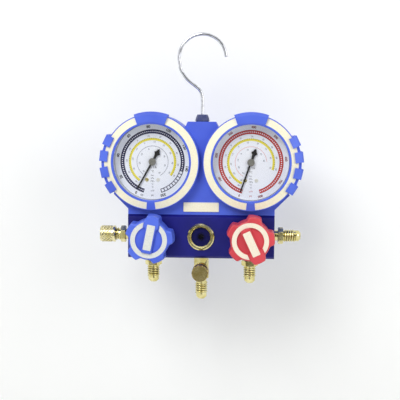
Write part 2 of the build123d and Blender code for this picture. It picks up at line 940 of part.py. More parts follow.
def hook_line():
    """Centre line of the bent wire, from the foot of the shank to the open tip."""
    centre = Vector(bow_centre_x, 0, bow_centre_height)
    lower_centre = centre + Vector(bow_lower_radius - bow_radius, 0, 0)

    def on_circle(middle, radius, angle):
        across, up = polar(radius, angle)
        return middle + Vector(across, 0, up)

    leave = on_circle(lower_centre, bow_lower_radius, bow_leave_angle)
    side = on_circle(centre, bow_radius, 180)
    tip_start = on_circle(centre, bow_radius, bow_tip_angle)
    slope_x = -sin(radians(bow_leave_angle))
    slope_z = cos(radians(bow_leave_angle))
    corner_z = leave.Z + slope_z / slope_x * (0 - leave.X)
    turn = atan2(slope_x, -slope_z)
    cut_back = shank_bend_radius * tan(turn / 2)
    bend_start = Vector(0, 0, corner_z - cut_back)
    bend_end = Vector(-slope_x * cut_back, 0, corner_z - slope_z * cut_back)
    bend_middle_x = -shank_bend_radius * (1 - cos(turn / 2))
    bend_middle_z = bend_start.Z + shank_bend_radius * sin(turn / 2)
    foot = Vector(0, 0, hook_boss_foot - hook_nut_height - hook_tail)
    tip_x = tip_start.X + tip_straight * sin(radians(bow_tip_angle))
    tip_z = tip_start.Z - tip_straight * cos(radians(bow_tip_angle))
    side_low = (180 + bow_leave_angle) / 2
    side_high = (180 + bow_tip_angle) / 2
    return Wire(
        [
            Edge.make_line(foot, bend_start),
            Edge.make_three_point_arc(bend_start, Vector(bend_middle_x, 0, bend_middle_z), bend_end),
            Edge.make_line(bend_end, leave),
            Edge.make_three_point_arc(
                leave, on_circle(lower_centre, bow_lower_radius, side_low), side
            ),
            Edge.make_three_point_arc(side, on_circle(centre, bow_radius, side_high), tip_start),
            Edge.make_line(tip_start, Vector(tip_x, 0, tip_z)),
        ]
    )


def hook():
    line = hook_line()
    return sweep(Plane(line @ 0, z_dir=line % 0) * Circle(wire_radius), path=line)


def hook_nut():
    """Nut on the foot of the shank; it carries the whole set under the housing's boss."""
    top = hook_boss_foot - swivel_gap
    nut = extrude(Pos(0, 0, top - hook_nut_height) * hexagon(2 * hook_nut_radius), hook_nut_height)
    return nut - upright_bore(wire_radius, top - hook_nut_height, top)


def hook_ferrule():
    """Faceted collar around the shank on top of the housing."""
    foot = crown_height
    low = extrude(Pos(0, 0, foot) * Circle(ferrule_base_radius - 0.6), ferrule_foot)
    base = Pos(0, 0, foot + ferrule_foot) * RegularPolygon(ferrule_base_radius, ferrule_facets)
    shoulder = foot + ferrule_foot + ferrule_height * 0.45
    waist = Pos(0, 0, shoulder) * RegularPolygon(ferrule_base_radius * 0.93, ferrule_facets)
    top = Pos(0, 0, foot + ferrule_foot + ferrule_height)
    cap = top * RegularPolygon(ferrule_top_radius, ferrule_facets)
    body = low + loft([base, waist]) + loft([waist, cap])
    hole = upright_bore(wire_radius + running_clearance, foot, foot + ferrule_foot + ferrule_height)
    return body - hole


def gauge_case():
    """Pressed cup, open to the front, with the hole for the socket's stem at the bottom."""
    inner = case_radius - case_wall
    cup = facing_front(
        turned(
            [
                (0, case_back),
                (case_radius - 1.5, case_back),
                (case_radius, case_back + 1.5),
                (case_radius, case_front),
                (inner, case_front),
                (inner, case_back + case_wall),
                (0, case_back + case_wall),
            ]
        )
    )
    return cup - upright_bore(socket_stem_radius + stem_hole_clearance, -case_radius - 1, socket_top)


def lens_back():
    return case_front + gasket_thickness


def gauge_gasket():
    return slab(Circle(case_radius) - Circle(gasket_inner), case_front, lens_back())


def gauge_lens():
    lens = slab(Circle(case_radius), lens_back(), lens_seat)
    return chamfer(lens.faces().sort_by(Axis.Y)[0].edges(), 0.4)


def dial():
    plate = Circle(dial_radius) - Circle(arbor_radius + 0.9)
    for side in (-1, 1):
        plate -= Pos(side * dial_screw_offset, -dial_screw_drop) * Circle(dial_screw_radius)
    return slab(plate, dial_front - dial_thickness, dial_front)


def dial_screw(side):
    place = Pos(side * dial_screw_offset, -dial_screw_drop)
    head_front = dial_front + dial_screw_head_height
    head = slab(place * Circle(dial_screw_head), dial_front, head_front)
    head = chamfer(head.faces().sort_by(Axis.Y)[0].edges(), 0.2)
    shank = slab(place * Circle(dial_screw_radius), dial_front - dial_screw_length, dial_front)
    slot = slab(place * Rectangle(2 * dial_screw_head, 0.4), head_front - 0.3, head_front)
    return head + shank - slot


def sector_place():
    return polar(sector_distance, sector_direction)


def gear_sketch(teeth, indices, phase, root_sketch):
    """Straight-flanked teeth on a root sketch; the phase is the angle of tooth 0."""
    pitch_radius = gear_module * teeth / 2
    root = pitch_radius - tooth_dedendum * gear_module
    tip = pitch_radius + tooth_addendum * gear_module
    pitch_length = pi * gear_module
    low = pitch_length * tooth_root_share / 2
    high = pitch_length * tooth_tip_share / 2
    tooth = make_face(
        Polyline([(root - 0.1, -low), (tip, -high), (tip, high), (root - 0.1, low)], close=True)
    )
    sketch = root_sketch
    for index in indices:
        sketch += Rot(Z=phase + index * 360 / teeth) * tooth
    return sketch


def pinion_arbor():
    pitch_radius = gear_module * pinion_teeth / 2
    root = pitch_radius - tooth_dedendum * gear_module
    half_pitch = 180 / pinion_teeth
    phase = sector_direction + half_pitch
    gear = gear_sketch(pinion_teeth, range(pinion_teeth), phase, Circle(root))
    body = slab(gear, sector_plane - 0.4, sector_plane + sector_thickness + 0.4)
    shaft_back = back_plate_back + 0.2
    return body + slab(Circle(arbor_radius), shaft_back, pointer_hub_front)


def sector_gear():
    """Toothed sector with its tail and arbor, at the movement's lower right."""
    pitch_radius = gear_module * sector_teeth / 2
    root = pitch_radius - tooth_dedendum * gear_module
    facing = sector_direction + 180
    step = 360 / sector_teeth
    first = facing - (sector_teeth_after + 1) * step
    last = facing + (sector_teeth_before + 1) * step
    rim = (Circle(root) - Circle(root - 1.6)) & sector_sketch(root + 1, first, last)
    web = sector_sketch(root - 1.0, first, last) & Circle(root - 0.8)
    window = sector_sketch(root, first + 9, last - 9) & (Circle(root - 2.4) - Circle(4.4))
    root_sketch = Circle(2.2) + web - window + rim
    indices = range(-sector_teeth_after, sector_teeth_before + 1)
    sketch = gear_sketch(sector_teeth, indices, facing, root_sketch)
    rest = tail_rest_angle()
    tail = Pos(tail_length / 2, 0) * Rectangle(tail_length, 2.0)
    sketch += Rot(Z=rest) * (tail + Pos(tail_length, 0) * Circle(1.1))
    body = slab(sketch, sector_plane, sector_plane + sector_thickness)
    body += slab(Circle(sector_arbor_radius), back_plate_back + 0.2, front_plate_back + 0.8)
    pin = Pos(*polar(tail_length, rest)) * Circle(tail_pin_radius)
    link_front = sector_plane + sector_thickness + 0.3 + link_thickness
    body += slab(pin, sector_plane, link_front + 0.2)
    x, z = sector_place()
    return Pos(x, 0, z) * body


def tail_rest_angle():
    return tail_mid_angle - pointer_sweep / sector_ratio / 2


def tail_pin_place():
    x, z = sector_place()
    across, up = polar(tail_length, tail_rest_angle())
    return (x + across, z + up)


def link():
    """Flat bar from the tube's tip to the sector's tail; its eye at the tail is the loose one."""
    back = sector_plane + sector_thickness + 0.3
    tip_x, tip_z = tube_tip_pin
    tail_x, tail_z = tail_pin_place()
    length = sqrt((tail_x - tip_x) ** 2 + (tail_z - tip_z) ** 2)
    angle = degrees(atan2(tail_z - tip_z, tail_x - tip_x))
    bar = Pos(length / 2, 0) * Rectangle(length, link_width)
    sketch = bar + Circle(link_eye_radius) + Pos(length, 0) * Circle(link_eye_radius)
    sketch -= Circle(tip_pin_radius + running_clearance)
    sketch -= Pos(length, 0) * Circle(tail_pin_radius + link_open_clearance)
    return slab(Pos(tip_x, tip_z) * Rot(Z=angle) * sketch, back, back + link_thickness)


def movement_outline():
    width = movement_right - movement_left
    height = movement_high - movement_low
    place = Pos((movement_left + movement_right) / 2, (movement_low + movement_high) / 2)
    holes = Circle(arbor_radius + running_clearance)
    holes += Pos(*sector_place()) * Circle(sector_arbor_radius + running_clearance)
    return place * RectangleRounded(width, height, 3.0) - holes


def movement_plates():
    """Back plate with its pillars, and front plate with the two posts that carry the dial."""
    back_front = back_plate_back + movement_plate_thickness
    back_plate = slab(movement_outline(), back_plate_back, back_front)
    for place in pillar_places:
        back_plate += slab(Pos(*place) * Circle(pillar_radius), back_front, front_plate_back)
    front = front_plate_back + movement_plate_thickness
    front_plate = slab(movement_outline(), front_plate_back, front)
    dial_back = dial_front - dial_thickness
    for side in (-1, 1):
        place = Pos(side * dial_screw_offset, -dial_screw_drop)
        front_plate += slab(place * Circle(dial_post_radius), front, dial_back)
        front_plate -= slab(place * Circle(dial_screw_radius), front, dial_back)
    return Compound([back_plate.solid(), front_plate.solid()])


def bourdon_tube():
    """C-shaped flattened tube with its closing tip, from the socket clockwise over the top."""
    half = tube_height / 2
    section = Pos(tube_radius, 0) * RectangleRounded(tube_radial, tube_height, tube_rounding)
    bore = Rectangle(tube_radial - 2 * tube_wall, tube_height - 2 * tube_wall)
    open_part = sector_sketch(2 * tube_radius, tube_root_angle, 360 + tube_tip_angle)
    closed_part = sector_sketch(
        2 * tube_radius,
        tube_root_angle + 1,
        360 + tube_tip_angle + tube_plug_angle,
    )
    tube = facing_front(revolve(Plane.XZ * section, Axis.Z))
    tube -= slab(open_part, -half - 1, half + 1)
    hollow = facing_front(revolve(Plane.XZ * Pos(tube_radius, 0) * bore, Axis.Z))
    tube -= hollow - slab(closed_part, -half - 1, half + 1)
    tip_x, tip_z = tube_tip_pin
    tab_back = sector_plane
    tab_front = sector_plane + sector_thickness
    end_x, end_z = polar(tube_radius, tube_tip_angle + 2.0)
    length = sqrt((end_x - tip_x) ** 2 + (end_z - tip_z) ** 2)
    angle = degrees(atan2(end_z - tip_z, end_x - tip_x))
    tab = Circle(link_eye_radius) + Pos(length / 2, 0) * Rectangle(length, 2 * link_eye_radius)
    tube += slab(Pos(tip_x, tip_z) * Rot(Z=angle) * tab, tab_back, tab_front)
    pin = Pos(tip_x, tip_z) * Circle(tip_pin_radius)
    return tube + slab(pin, tab_front, tab_front + 0.3 + link_thickness + 0.2)


def gauge_socket():
    """Brass socket: block inside the case, tongue behind the movement, stem and spigot below."""
    foot = -case_radius + case_wall + 1.2
    width = 2 * socket_half_width
    body = Pos(0, 0, (foot + socket_top) / 2) * Box(width, socket_front - socket_back, socket_top - foot)
    body = Pos(0, -(socket_front + socket_back) / 2, 0) * body
    body = chamfer(body.edges().filter_by(Axis.Y), 1.0)
    tongue_height = tongue_top - socket_top + 2.0
    tongue = Pos(0, tongue_top - tongue_height / 2) * Rectangle(2 * tongue_half_width, tongue_height)
    body += slab(tongue, socket_back, back_plate_back)
    body += upright_bore(socket_stem_radius, gauge_drop, foot + 1.0)
    body += upright_bore(gauge_spigot_radius, gauge_drop - spigot_length, gauge_drop)
    return body - upright_bore(socket_bore, gauge_drop - spigot_length, socket_top - 2.0)


def pointer(angle):
    """Black needle with a spade-shaped counterweight, drawn pointing up and turned to its place."""
    needle = [
        (-0.85, 0),
        (-0.25, pointer_length),
        (0.25, pointer_length),
        (0.85, 0),
        (0.85, -pointer_tail + 6.2),
        (1.7, -pointer_tail + 4.2),
        (1.0, -pointer_tail + 3.2),
        (0, -pointer_tail),
        (-1.0, -pointer_tail + 3.2),
        (-1.7, -pointer_tail + 4.2),
        (-0.85, -pointer_tail + 6.2),
    ]
    blade = make_face(Polyline(needle, close=True))
    body = slab(blade, pointer_plane - pointer_thickness, pointer_plane)
    body += slab(Circle(pointer_hub_radius), pointer_hub_back, pointer_hub_front - 0.2)
    body -= slab(Circle(arbor_radius), pointer_hub_back, pointer_hub_front)
    return Rot(Y=angle) * body


def both_gauges(build):
    """The same piece in both gauges, as one group."""
    pieces = []
    for side in (-1, 1):
        pieces += list(at_gauge(build, side).solids())
    return Compound(pieces)


def block_seals():
    seals = [sight_glass_seal()]
    for side in (-1, 1):
        seals.append(Pos(side * station, 0, 0) * valve_stem_seal())
    return Compound(seals)


def valve_nodes(side, angle):
    valve = Pos(side * station, 0, 0)
    return {
        "valve_bonnet": valve * valve_bonnet(),
        "valve_stem": valve * valve_stem(),
        "valve_piston": valve * valve_piston(),
        "knob": valve * knob(angle),
        "knob_inlay": valve * knob_inlay(angle),
        "knob_screw": valve * knob_screw(),
    }


def gauge_nodes(side, pointer_angle):
    return {
        "gauge_case": at_gauge(gauge_case(), side),
        "gauge_lens": at_gauge(gauge_lens(), side),
        "dial": at_gauge(dial(), side),
        "pointer": at_gauge(pointer(pointer_angle), side),
        "pinion_arbor": at_gauge(pinion_arbor(), side),
        "sector_gear": at_gauge(sector_gear(), side),
        "movement_plates": at_gauge(movement_plates(), side),
        "bourdon_tube": at_gauge(bourdon_tube(), side),
        "link": at_gauge(link(), side),
        "gauge_socket": at_gauge(gauge_socket(), side),
    }


def all_nodes():
    nodes = {
        "manifold_block": manifold_block(),
        "sight_glass_retainer": sight_glass_retainer(),
        "sight_glass_lens": sight_glass_lens(),
        "block_seals": block_seals(),
        "low_hose_port": place_port(flare_fitting(), "down", -station),
        "high_hose_port": place_port(flare_fitting(), "down", station),
        "low_side_port": place_port(flare_fitting(), "left", 0),
        "high_side_port": place_port(flare_fitting(), "right", 0),
        "centre_tee": centre_tee(),
        "tee_cap": place_on_branch(port_cap()),
        "tee_cap_seal": place_on_branch(port_cap_seal()),
        "low_side_cap": place_port(port_cap(), "left", 0),
        "low_side_cap_seal": place_port(port_cap_seal(), "left", 0),
        "low_valve_core": place_port(valve_core(), "left", 0),
        "low_core_pin": place_port(core_pin(), "left", 0),
        "high_valve_core": place_port(valve_core(), "right", 0),
        "high_core_pin": place_port(core_pin(), "right", 0),
        "gauge_housing": gauge_housing(),
        "rear_cover": rear_cover(),
        "housing_screws": housing_screws(),
        "glow_strips": glow_strips(),
        "name_plate": name_plate(),
        "hook": hook(),
        "hook_nut": hook_nut(),
        "hook_ferrule": hook_ferrule(),
        "gauge_gaskets": both_gauges(gauge_gasket()),
        "dial_screws": both_gauges(Compound([dial_screw(-1), dial_screw(1)])),
    }
    sides = {
        "low": (-1, low_knob_angle, low_pointer_angle),
        "high": (1, high_knob_angle, high_pointer_angle),
    }
    for name, (side, knob_angle, pointer_angle) in sides.items():
        for piece, shape in valve_nodes(side, knob_angle).items():
            nodes[name + "_" + piece] = shape
        for piece, shape in gauge_nodes(side, pointer_angle).items():
            nodes[name + "_" + piece] = shape
    return nodes


os.makedirs("parts", exist_ok=True)
for node_name, node_shape in all_nodes().items():
    export_step(Pos(0, 0, -hang_height) * node_shape, "parts/" + node_name + ".step")
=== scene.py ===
import math

import bmesh
import bpy
from mathutils import Matrix, Vector


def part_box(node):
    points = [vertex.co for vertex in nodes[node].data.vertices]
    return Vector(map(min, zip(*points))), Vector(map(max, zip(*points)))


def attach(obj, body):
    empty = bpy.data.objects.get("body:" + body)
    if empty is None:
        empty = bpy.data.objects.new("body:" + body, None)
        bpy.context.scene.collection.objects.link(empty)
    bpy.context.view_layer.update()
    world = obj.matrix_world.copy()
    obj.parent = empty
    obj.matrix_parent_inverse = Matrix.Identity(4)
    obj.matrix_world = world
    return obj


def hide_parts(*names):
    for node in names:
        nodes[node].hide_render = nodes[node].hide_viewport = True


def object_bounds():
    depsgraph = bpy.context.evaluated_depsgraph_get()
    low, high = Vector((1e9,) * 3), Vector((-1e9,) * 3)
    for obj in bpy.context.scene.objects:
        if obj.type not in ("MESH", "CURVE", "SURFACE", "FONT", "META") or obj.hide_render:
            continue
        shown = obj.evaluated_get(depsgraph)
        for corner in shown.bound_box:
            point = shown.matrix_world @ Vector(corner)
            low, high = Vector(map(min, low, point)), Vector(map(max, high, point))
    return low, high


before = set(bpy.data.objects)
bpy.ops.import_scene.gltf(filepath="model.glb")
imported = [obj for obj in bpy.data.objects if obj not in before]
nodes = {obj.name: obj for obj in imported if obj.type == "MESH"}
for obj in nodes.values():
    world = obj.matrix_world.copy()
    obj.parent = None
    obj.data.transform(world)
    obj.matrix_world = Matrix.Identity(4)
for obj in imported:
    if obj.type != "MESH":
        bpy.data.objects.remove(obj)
cad_low, cad_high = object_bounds()
MM = 0.001

# Where it hangs: a plain white wall behind and a pale floor below, both well clear of the swivelling
# set. Both are matt paper with a faint glow that only the camera and reflections see, so that they
# read as white. From behind they are see-through.


def linear(code):
    """An sRGB hex colour as linear RGBA."""
    channels = [int(code[i : i + 2], 16) / 255 for i in (1, 3, 5)]
    return [c / 12.92 if c <= 0.04045 else ((c + 0.055) / 1.055) ** 2.4 for c in channels] + [1.0]


def add_node(tree, kind, settings=(), **sockets):
    """A node with its settings, and its inputs set or linked by name (underscores for spaces)."""
    node = tree.nodes.new(kind)
    for name, value in dict(settings).items():
        setattr(node, name, value)
    for name, value in sockets.items():
        key = int(name[1:]) if name[0] == "_" else name.replace("_", " ")
        if isinstance(value, bpy.types.NodeSocket):
            tree.links.new(value, node.inputs[key])
        else:
            node.inputs[key].default_value = value
    return node


def new_material(name):
    """A material with an empty node tree, and the tree."""
    material = bpy.data.materials.new(name)
    material.use_nodes = True
    material.node_tree.nodes.clear()
    return material, material.node_tree


def paper(name, colour, lift):
    """Matt paper; its lift is a glow that only the camera and reflections see."""
    material, tree = new_material(name)
    matt = add_node(tree, "ShaderNodeBsdfDiffuse", Color=linear(colour)).outputs[0]
    glow = add_node(tree, "ShaderNodeEmission", Color=linear("#FFFFFF"), Strength=lift).outputs[0]
    both = add_node(tree, "ShaderNodeAddShader", _0=matt, _1=glow).outputs[0]
    ray = add_node(tree, "ShaderNodeLightPath")
    seen = add_node(
        tree,
        "ShaderNodeMath",
        {"operation": "MAXIMUM"},
        _0=ray.outputs["Is Camera Ray"],
        _1=ray.outputs["Is Glossy Ray"],
    )
    shown = add_node(tree, "ShaderNodeMixShader", _0=seen.outputs[0], _1=matt, _2=both).outputs[0]
    clear = add_node(tree, "ShaderNodeBsdfTransparent").outputs[0]
    side = add_node(tree, "ShaderNodeNewGeometry").outputs["Backfacing"]
    sheet = add_node(tree, "ShaderNodeMixShader", _0=side, _1=shown, _2=clear).outputs[0]
    add_node(tree, "ShaderNodeOutputMaterial", Surface=sheet)
    return material


def flat_sheet(name, corners, material):
    """One four-cornered face of the setting."""
    mesh = bpy.data.meshes.new(name)
    mesh.from_pydata([Vector(c) for c in corners], [], [(0, 1, 2, 3)])
    sheet = bpy.data.objects.new(name, mesh)
    bpy.context.scene.collection.objects.link(sheet)
    mesh.materials.append(material)


# The set reaches 90 mm back as it swivels on its hook.
wall_y = 0.100
floor_drop = 0.150
floor_z = cad_low.z - floor_drop
reach = 3.0
flat_sheet(
    "wall",
    [
        (-reach, wall_y, -reach),
        (reach, wall_y, -reach),
        (reach, wall_y, reach),
        (-reach, wall_y, reach),
    ],
    paper("white_wall_paper", "#F2F3F2", 0.10),
)
flat_sheet(
    "floor",
    [
        (-reach, -reach, floor_z),
        (reach, -reach, floor_z),
        (reach, reach, floor_z),
        (-reach, reach, floor_z),
    ],
    paper("pale_floor_paper", "#EDEDEB", 0.12),
)


def flag_card(name, colour):
    """Card that only reflections see: it gives bright metal something dark to show."""
    material, tree = new_material(name)
    matt = add_node(tree, "ShaderNodeBsdfDiffuse", Color=linear(colour)).outputs[0]
    clear = add_node(tree, "ShaderNodeBsdfTransparent").outputs[0]
    mirrored = add_node(tree, "ShaderNodeLightPath").outputs["Is Glossy Ray"]
    card = add_node(tree, "ShaderNodeMixShader", _0=mirrored, _1=clear, _2=matt).outputs[0]
    add_node(tree, "ShaderNodeOutputMaterial", Surface=card)
    return material


# A grey card stands behind the camera and runs on over the floor. Polished faces turned to the camera
# show it.
grey_card = flag_card("grey_flag_card", "#808080")
card_y = -1.30
card_top = 0.50
card_foot = floor_z + 0.002
card_near = -0.40
card_half = 0.20
flat_sheet(
    "flag",
    [
        (-card_half, card_y, card_foot),
        (-card_half, card_y, card_top),
        (card_half, card_y, card_top),
        (card_half, card_y, card_foot),
    ],
    grey_card,
)
flat_sheet(
    "floor_flag",
    [
        (-card_half, card_near, card_foot),
        (-card_half, card_y, card_foot),
        (card_half, card_y, card_foot),
        (card_half, card_near, card_foot),
    ],
    grey_card,
)
# A black card stands higher and to the right, and gives the hook's wire its dark core.
hook_card_y = -1.25
hook_card_left, hook_card_right = -0.10, 0.95
hook_card_foot, hook_card_top = 0.0, 0.70
flat_sheet(
    "hook_flag",
    [
        (hook_card_left, hook_card_y, hook_card_foot),
        (hook_card_left, hook_card_y, hook_card_top),
        (hook_card_right, hook_card_y, hook_card_top),
        (hook_card_right, hook_card_y, hook_card_foot),
    ],
    flag_card("black_flag_card", "#0C0C0C"),
)

# Air and lamps: even white air that is brighter to the camera and reflections than as light, a key
# softbox high on the left and a weaker one on the right.
world = bpy.data.worlds.new("studio_air")
bpy.context.scene.world = world
world.use_nodes = True
world.node_tree.nodes.clear()
air_light = add_node(world.node_tree, "ShaderNodeBackground", Color=linear("#FFFFFF"), Strength=0.35)
air_seen = add_node(world.node_tree, "ShaderNodeBackground", Color=linear("#FFFFFF"), Strength=1.0)
ray = add_node(world.node_tree, "ShaderNodeLightPath")
looked_at = add_node(
    world.node_tree,
    "ShaderNodeMath",
    {"operation": "MAXIMUM"},
    _0=ray.outputs["Is Camera Ray"],
    _1=ray.outputs["Is Glossy Ray"],
)
air = add_node(
    world.node_tree,
    "ShaderNodeMixShader",
    _0=looked_at.outputs[0],
    _1=air_light.outputs[0],
    _2=air_seen.outputs[0],
)
add_node(world.node_tree, "ShaderNodeOutputWorld", Surface=air.outputs[0])


def soft_lamp(name, place, aim, size, watts):
    """A round softbox, its size in metres."""
    lamp = bpy.data.lights.new(name, "AREA")
    lamp.shape = "DISK"
    lamp.size = size
    lamp.energy = watts
    holder = bpy.data.objects.new(name, lamp)
    holder.location = place
    holder.rotation_euler = (Vector(aim) - Vector(place)).to_track_quat("-Z", "Y").to_euler()
    bpy.context.scene.collection.objects.link(holder)


middle = (cad_low + cad_high) / 2
soft_lamp("key_softbox", (-0.38, -1.00, 0.62), middle, size=0.70, watts=9.9)
soft_lamp("fill_softbox", (0.80, -0.80, 0.20), middle, size=0.70, watts=3.0)

# Camera: a long lens, a little to the right of the set's middle and about level with the tops of the
# gauges. It looks slightly down.
camera_data = bpy.data.cameras.new("camera")
camera_data.lens = 75.0
camera_data.sensor_width = 36.0
camera = bpy.data.objects.new("camera", camera_data)
bpy.context.scene.collection.objects.link(camera)
bpy.context.scene.camera = camera
camera_place = Vector((0.035, -0.730, -0.0775))
camera_aim = Vector((-0.0017, 0.0, -0.1428))
camera_roll = math.radians(0.35)
turn = (camera_aim - camera_place).to_track_quat("-Z", "Y").to_matrix()
camera.matrix_world = Matrix.Translation(camera_place) @ (
    turn @ Matrix.Rotation(camera_roll, 3, "Z")
).to_4x4()
bpy.context.scene.view_settings.view_transform = "Standard"

# Valve block: an extruded aluminium bar, milled, drilled and dyed dark blue by anodising. The dye
# shows as a deep satin blue, with the faint long lines of the extrusion under it.


def two_tones(tree, cause, dark, light, low=0.0, high=1.0):
    """Colour that runs from dark to light as its cause runs from low to high."""
    share = add_node(tree, "ShaderNodeMapRange", Value=cause, From_Min=low, From_Max=high)
    mix = add_node(tree, "ShaderNodeMix", {"data_type": "RGBA"}, Factor=share.outputs[0])
    mix.inputs[6].default_value = linear(dark)
    mix.inputs[7].default_value = linear(light)
    return mix.outputs[2]


def workshop_finish(
    name,
    dark,
    light,
    patch_mm,
    blend,
    edge_mm=None,
    grain_mm=None,
    depth_mm=0.02,
    strength=0.2,
    stretch=(1, 1, 1),
    detail=2.0,
    **look,
):
    """A whole finish. Its colour runs from dark to light in patches, over the given blend of their
    noise. Edges may be rounded a little, as tools and moulds leave them, and a grain may stand up
    on them. What is left goes to the shader."""
    material, tree = new_material(name)
    place = add_node(tree, "ShaderNodeTexCoord").outputs["Object"]
    patches = add_node(tree, "ShaderNodeTexNoise", Vector=place, Scale=1 / (patch_mm * MM)).outputs[0]
    colour = two_tones(tree, patches, dark, light, *blend)
    surface = {}
    if edge_mm:
        rounded = add_node(tree, "ShaderNodeBevel", {"samples": 4}, Radius=edge_mm * MM)
        surface["Normal"] = rounded.outputs[0]
    if grain_mm:
        along = add_node(tree, "ShaderNodeMapping", Vector=place, Scale=stretch).outputs[0]
        texture = add_node(
            tree,
            "ShaderNodeTexNoise",
            Vector=along,
            Scale=1 / (grain_mm * MM),
            Detail=detail,
        ).outputs[0]
        bump = add_node(
            tree,
            "ShaderNodeBump",
            Height=texture,
            Distance=depth_mm * MM,
            Strength=strength,
            **surface,
        )
        surface["Normal"] = bump.outputs[0]
    shader = add_node(tree, "ShaderNodeBsdfPrincipled", Base_Color=colour, **look, **surface)
    add_node(tree, "ShaderNodeOutputMaterial", Surface=shader.outputs[0])
    return material


def dress(material, *names):
    """Gives CAD nodes their finish."""
    for name in names:
        mesh = nodes[name].data
        mesh.materials.clear()
        mesh.materials.append(material)


def anodised_aluminium():
    """Dyed oxide over bare metal: satin, partly metallic, with drawn lines 0.4 mm apart along the
    bar."""
    return workshop_finish(
        "blue_anodised_aluminium",
        "#12146E",
        "#181A84",
        patch_mm=25,
        blend=(0.35, 0.65),
        edge_mm=0.25,
        grain_mm=0.4,
        strength=0.25,
        stretch=(0.03, 1, 1),
        detail=3.0,
        Metallic=0.35,
        Roughness=0.40,
    )


dress(anodised_aluminium(), "manifold_block")
block_low, block_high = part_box("manifold_block")
port_z = (block_low.z + block_high.z) / 2

# Flare ports and centre tee: free-machining brass, turned from hexagon bar, with a 7/16-20 thread cut
# on each end for a hose. The thread is a vee ridge wound on the turned-down stem. Fresh brass is
# bright pale yellow with sharp dark bands and fine tool marks.


def turned_brass(name, dark, light, groove_mm, groove_shade_colour):
    """Tool marks 0.15 mm apart, too fine to show, so drawn as a grain of 0.5 mm; thin tarnish in
    patches, and painted shade that darkens grooves and joints up to the given width."""
    mark_mm = 0.5
    tarnish_mm = 5
    edge_mm = 0.15
    depth_mm = 0.02
    material, tree = new_material(name)
    place = add_node(tree, "ShaderNodeTexCoord").outputs["Object"]
    marks = add_node(tree, "ShaderNodeTexNoise", Vector=place, Scale=1 / (mark_mm * MM)).outputs[0]
    tarnish = add_node(
        tree,
        "ShaderNodeTexNoise",
        Vector=place,
        Scale=1 / (tarnish_mm * MM),
        Detail=4.0,
    ).outputs[0]
    rough = add_node(tree, "ShaderNodeMapRange", Value=tarnish, To_Min=0.12, To_Max=0.24)
    open_share = add_node(
        tree,
        "ShaderNodeAmbientOcclusion",
        {"samples": 6},
        Distance=groove_mm * MM,
    ).outputs["AO"]
    # Painted shade: where ambient occlusion finds grooves and joints closed in, the colour darkens towards
    # the given shade colour.
    groove_shade_share = add_node(tree, "ShaderNodeMapRange", Value=open_share, From_Min=0.25, From_Max=0.75)
    metal = add_node(tree, "ShaderNodeMix", {"data_type": "RGBA"}, Factor=groove_shade_share.outputs[0])
    metal.inputs[6].default_value = linear(groove_shade_colour)
    tree.links.new(two_tones(tree, tarnish, dark, light, 0.35, 0.65), metal.inputs[7])
    rounded = add_node(tree, "ShaderNodeBevel", {"samples": 4}, Radius=edge_mm * MM).outputs[0]
    bump = add_node(
        tree,
        "ShaderNodeBump",
        Height=marks,
        Distance=depth_mm * MM,
        Strength=0.15,
        Normal=rounded,
    ).outputs[0]
    shader = add_node(
        tree,
        "ShaderNodeBsdfPrincipled",
        Base_Color=metal.outputs[2],
        Metallic=1.0,
        Roughness=rough.outputs[0],
        Normal=bump,
    )
    add_node(tree, "ShaderNodeOutputMaterial", Surface=shader.outputs[0])
    return material


# The last colour is the painted shade in grooves and joints.
brass = turned_brass("turned_brass", "#D6C87C", "#F1E8B0", 0.9, "#5E4A16")


def new_generator(name, **inputs):
    """A Geometry Nodes tree with named inputs, and the node that gives them."""
    tree = bpy.data.node_groups.new(name, "GeometryNodeTree")
    tree.interface.new_socket("Geometry", in_out="OUTPUT", socket_type="NodeSocketGeometry")
    for label, kind in inputs.items():
        tree.interface.new_socket(label.replace("_", " "), in_out="INPUT", socket_type="NodeSocket" + kind)
    return tree, tree.nodes.new("NodeGroupInput").outputs


def end_generator(tree, geometry, material):
    """Every tree ends by making its copies real and giving them their material."""
    real = add_node(tree, "GeometryNodeRealizeInstances", Geometry=geometry).outputs[0]
    dressed = add_node(tree, "GeometryNodeSetMaterial", Geometry=real, Material=material).outputs[0]
    add_node(tree, "NodeGroupOutput", Geometry=dressed)


def grow(name, tree, **values):
    """Runs a tree on an empty mesh and returns the plain mesh that it makes."""
    seed_object = bpy.data.objects.new(name, bpy.data.meshes.new(name))
    bpy.context.scene.collection.objects.link(seed_object)
    modifier = seed_object.modifiers.new(name, "NODES")
    modifier.node_group = tree
    for item in tree.interface.items_tree:
        if item.in_out == "INPUT":
            modifier[item.identifier] = values[item.name.replace(" ", "_")]
    seen = seed_object.evaluated_get(bpy.context.evaluated_depsgraph_get())
    mesh = bpy.data.meshes.new_from_object(seen)
    seed_object.modifiers.clear()
    bpy.data.objects.remove(seed_object)
    return mesh


def vee_thread_tree():
    """One turn after another of a four-cornered ridge, closed at both ends."""
    tree, given = new_generator(
        "vee_thread",
        Root_Radius="Float",
        Ridge="Float",
        Turns="Float",
        Length="Float",
        Material="Material",
    )
    wire = add_node(
        tree,
        "GeometryNodeCurveSpiral",
        Resolution=40,
        Rotations=given["Turns"],
        Start_Radius=given["Root Radius"],
        End_Radius=given["Root Radius"],
        Height=given["Length"],
    ).outputs[0]
    upright = add_node(tree, "GeometryNodeSetCurveNormal", {"mode": "Z_UP"}, Curve=wire).outputs[0]
    vee = add_node(tree, "GeometryNodeCurvePrimitiveCircle", Resolution=4, Radius=given["Ridge"])
    ridge = add_node(
        tree,
        "GeometryNodeCurveToMesh",
        Curve=upright,
        Profile_Curve=vee.outputs[0],
        Fill_Caps=True,
    ).outputs[0]
    end_generator(tree, ridge, given["Material"])
    return tree


vee_thread = vee_thread_tree()
plain_crest = 5.556 * MM
thread_crest = 5.55 * MM
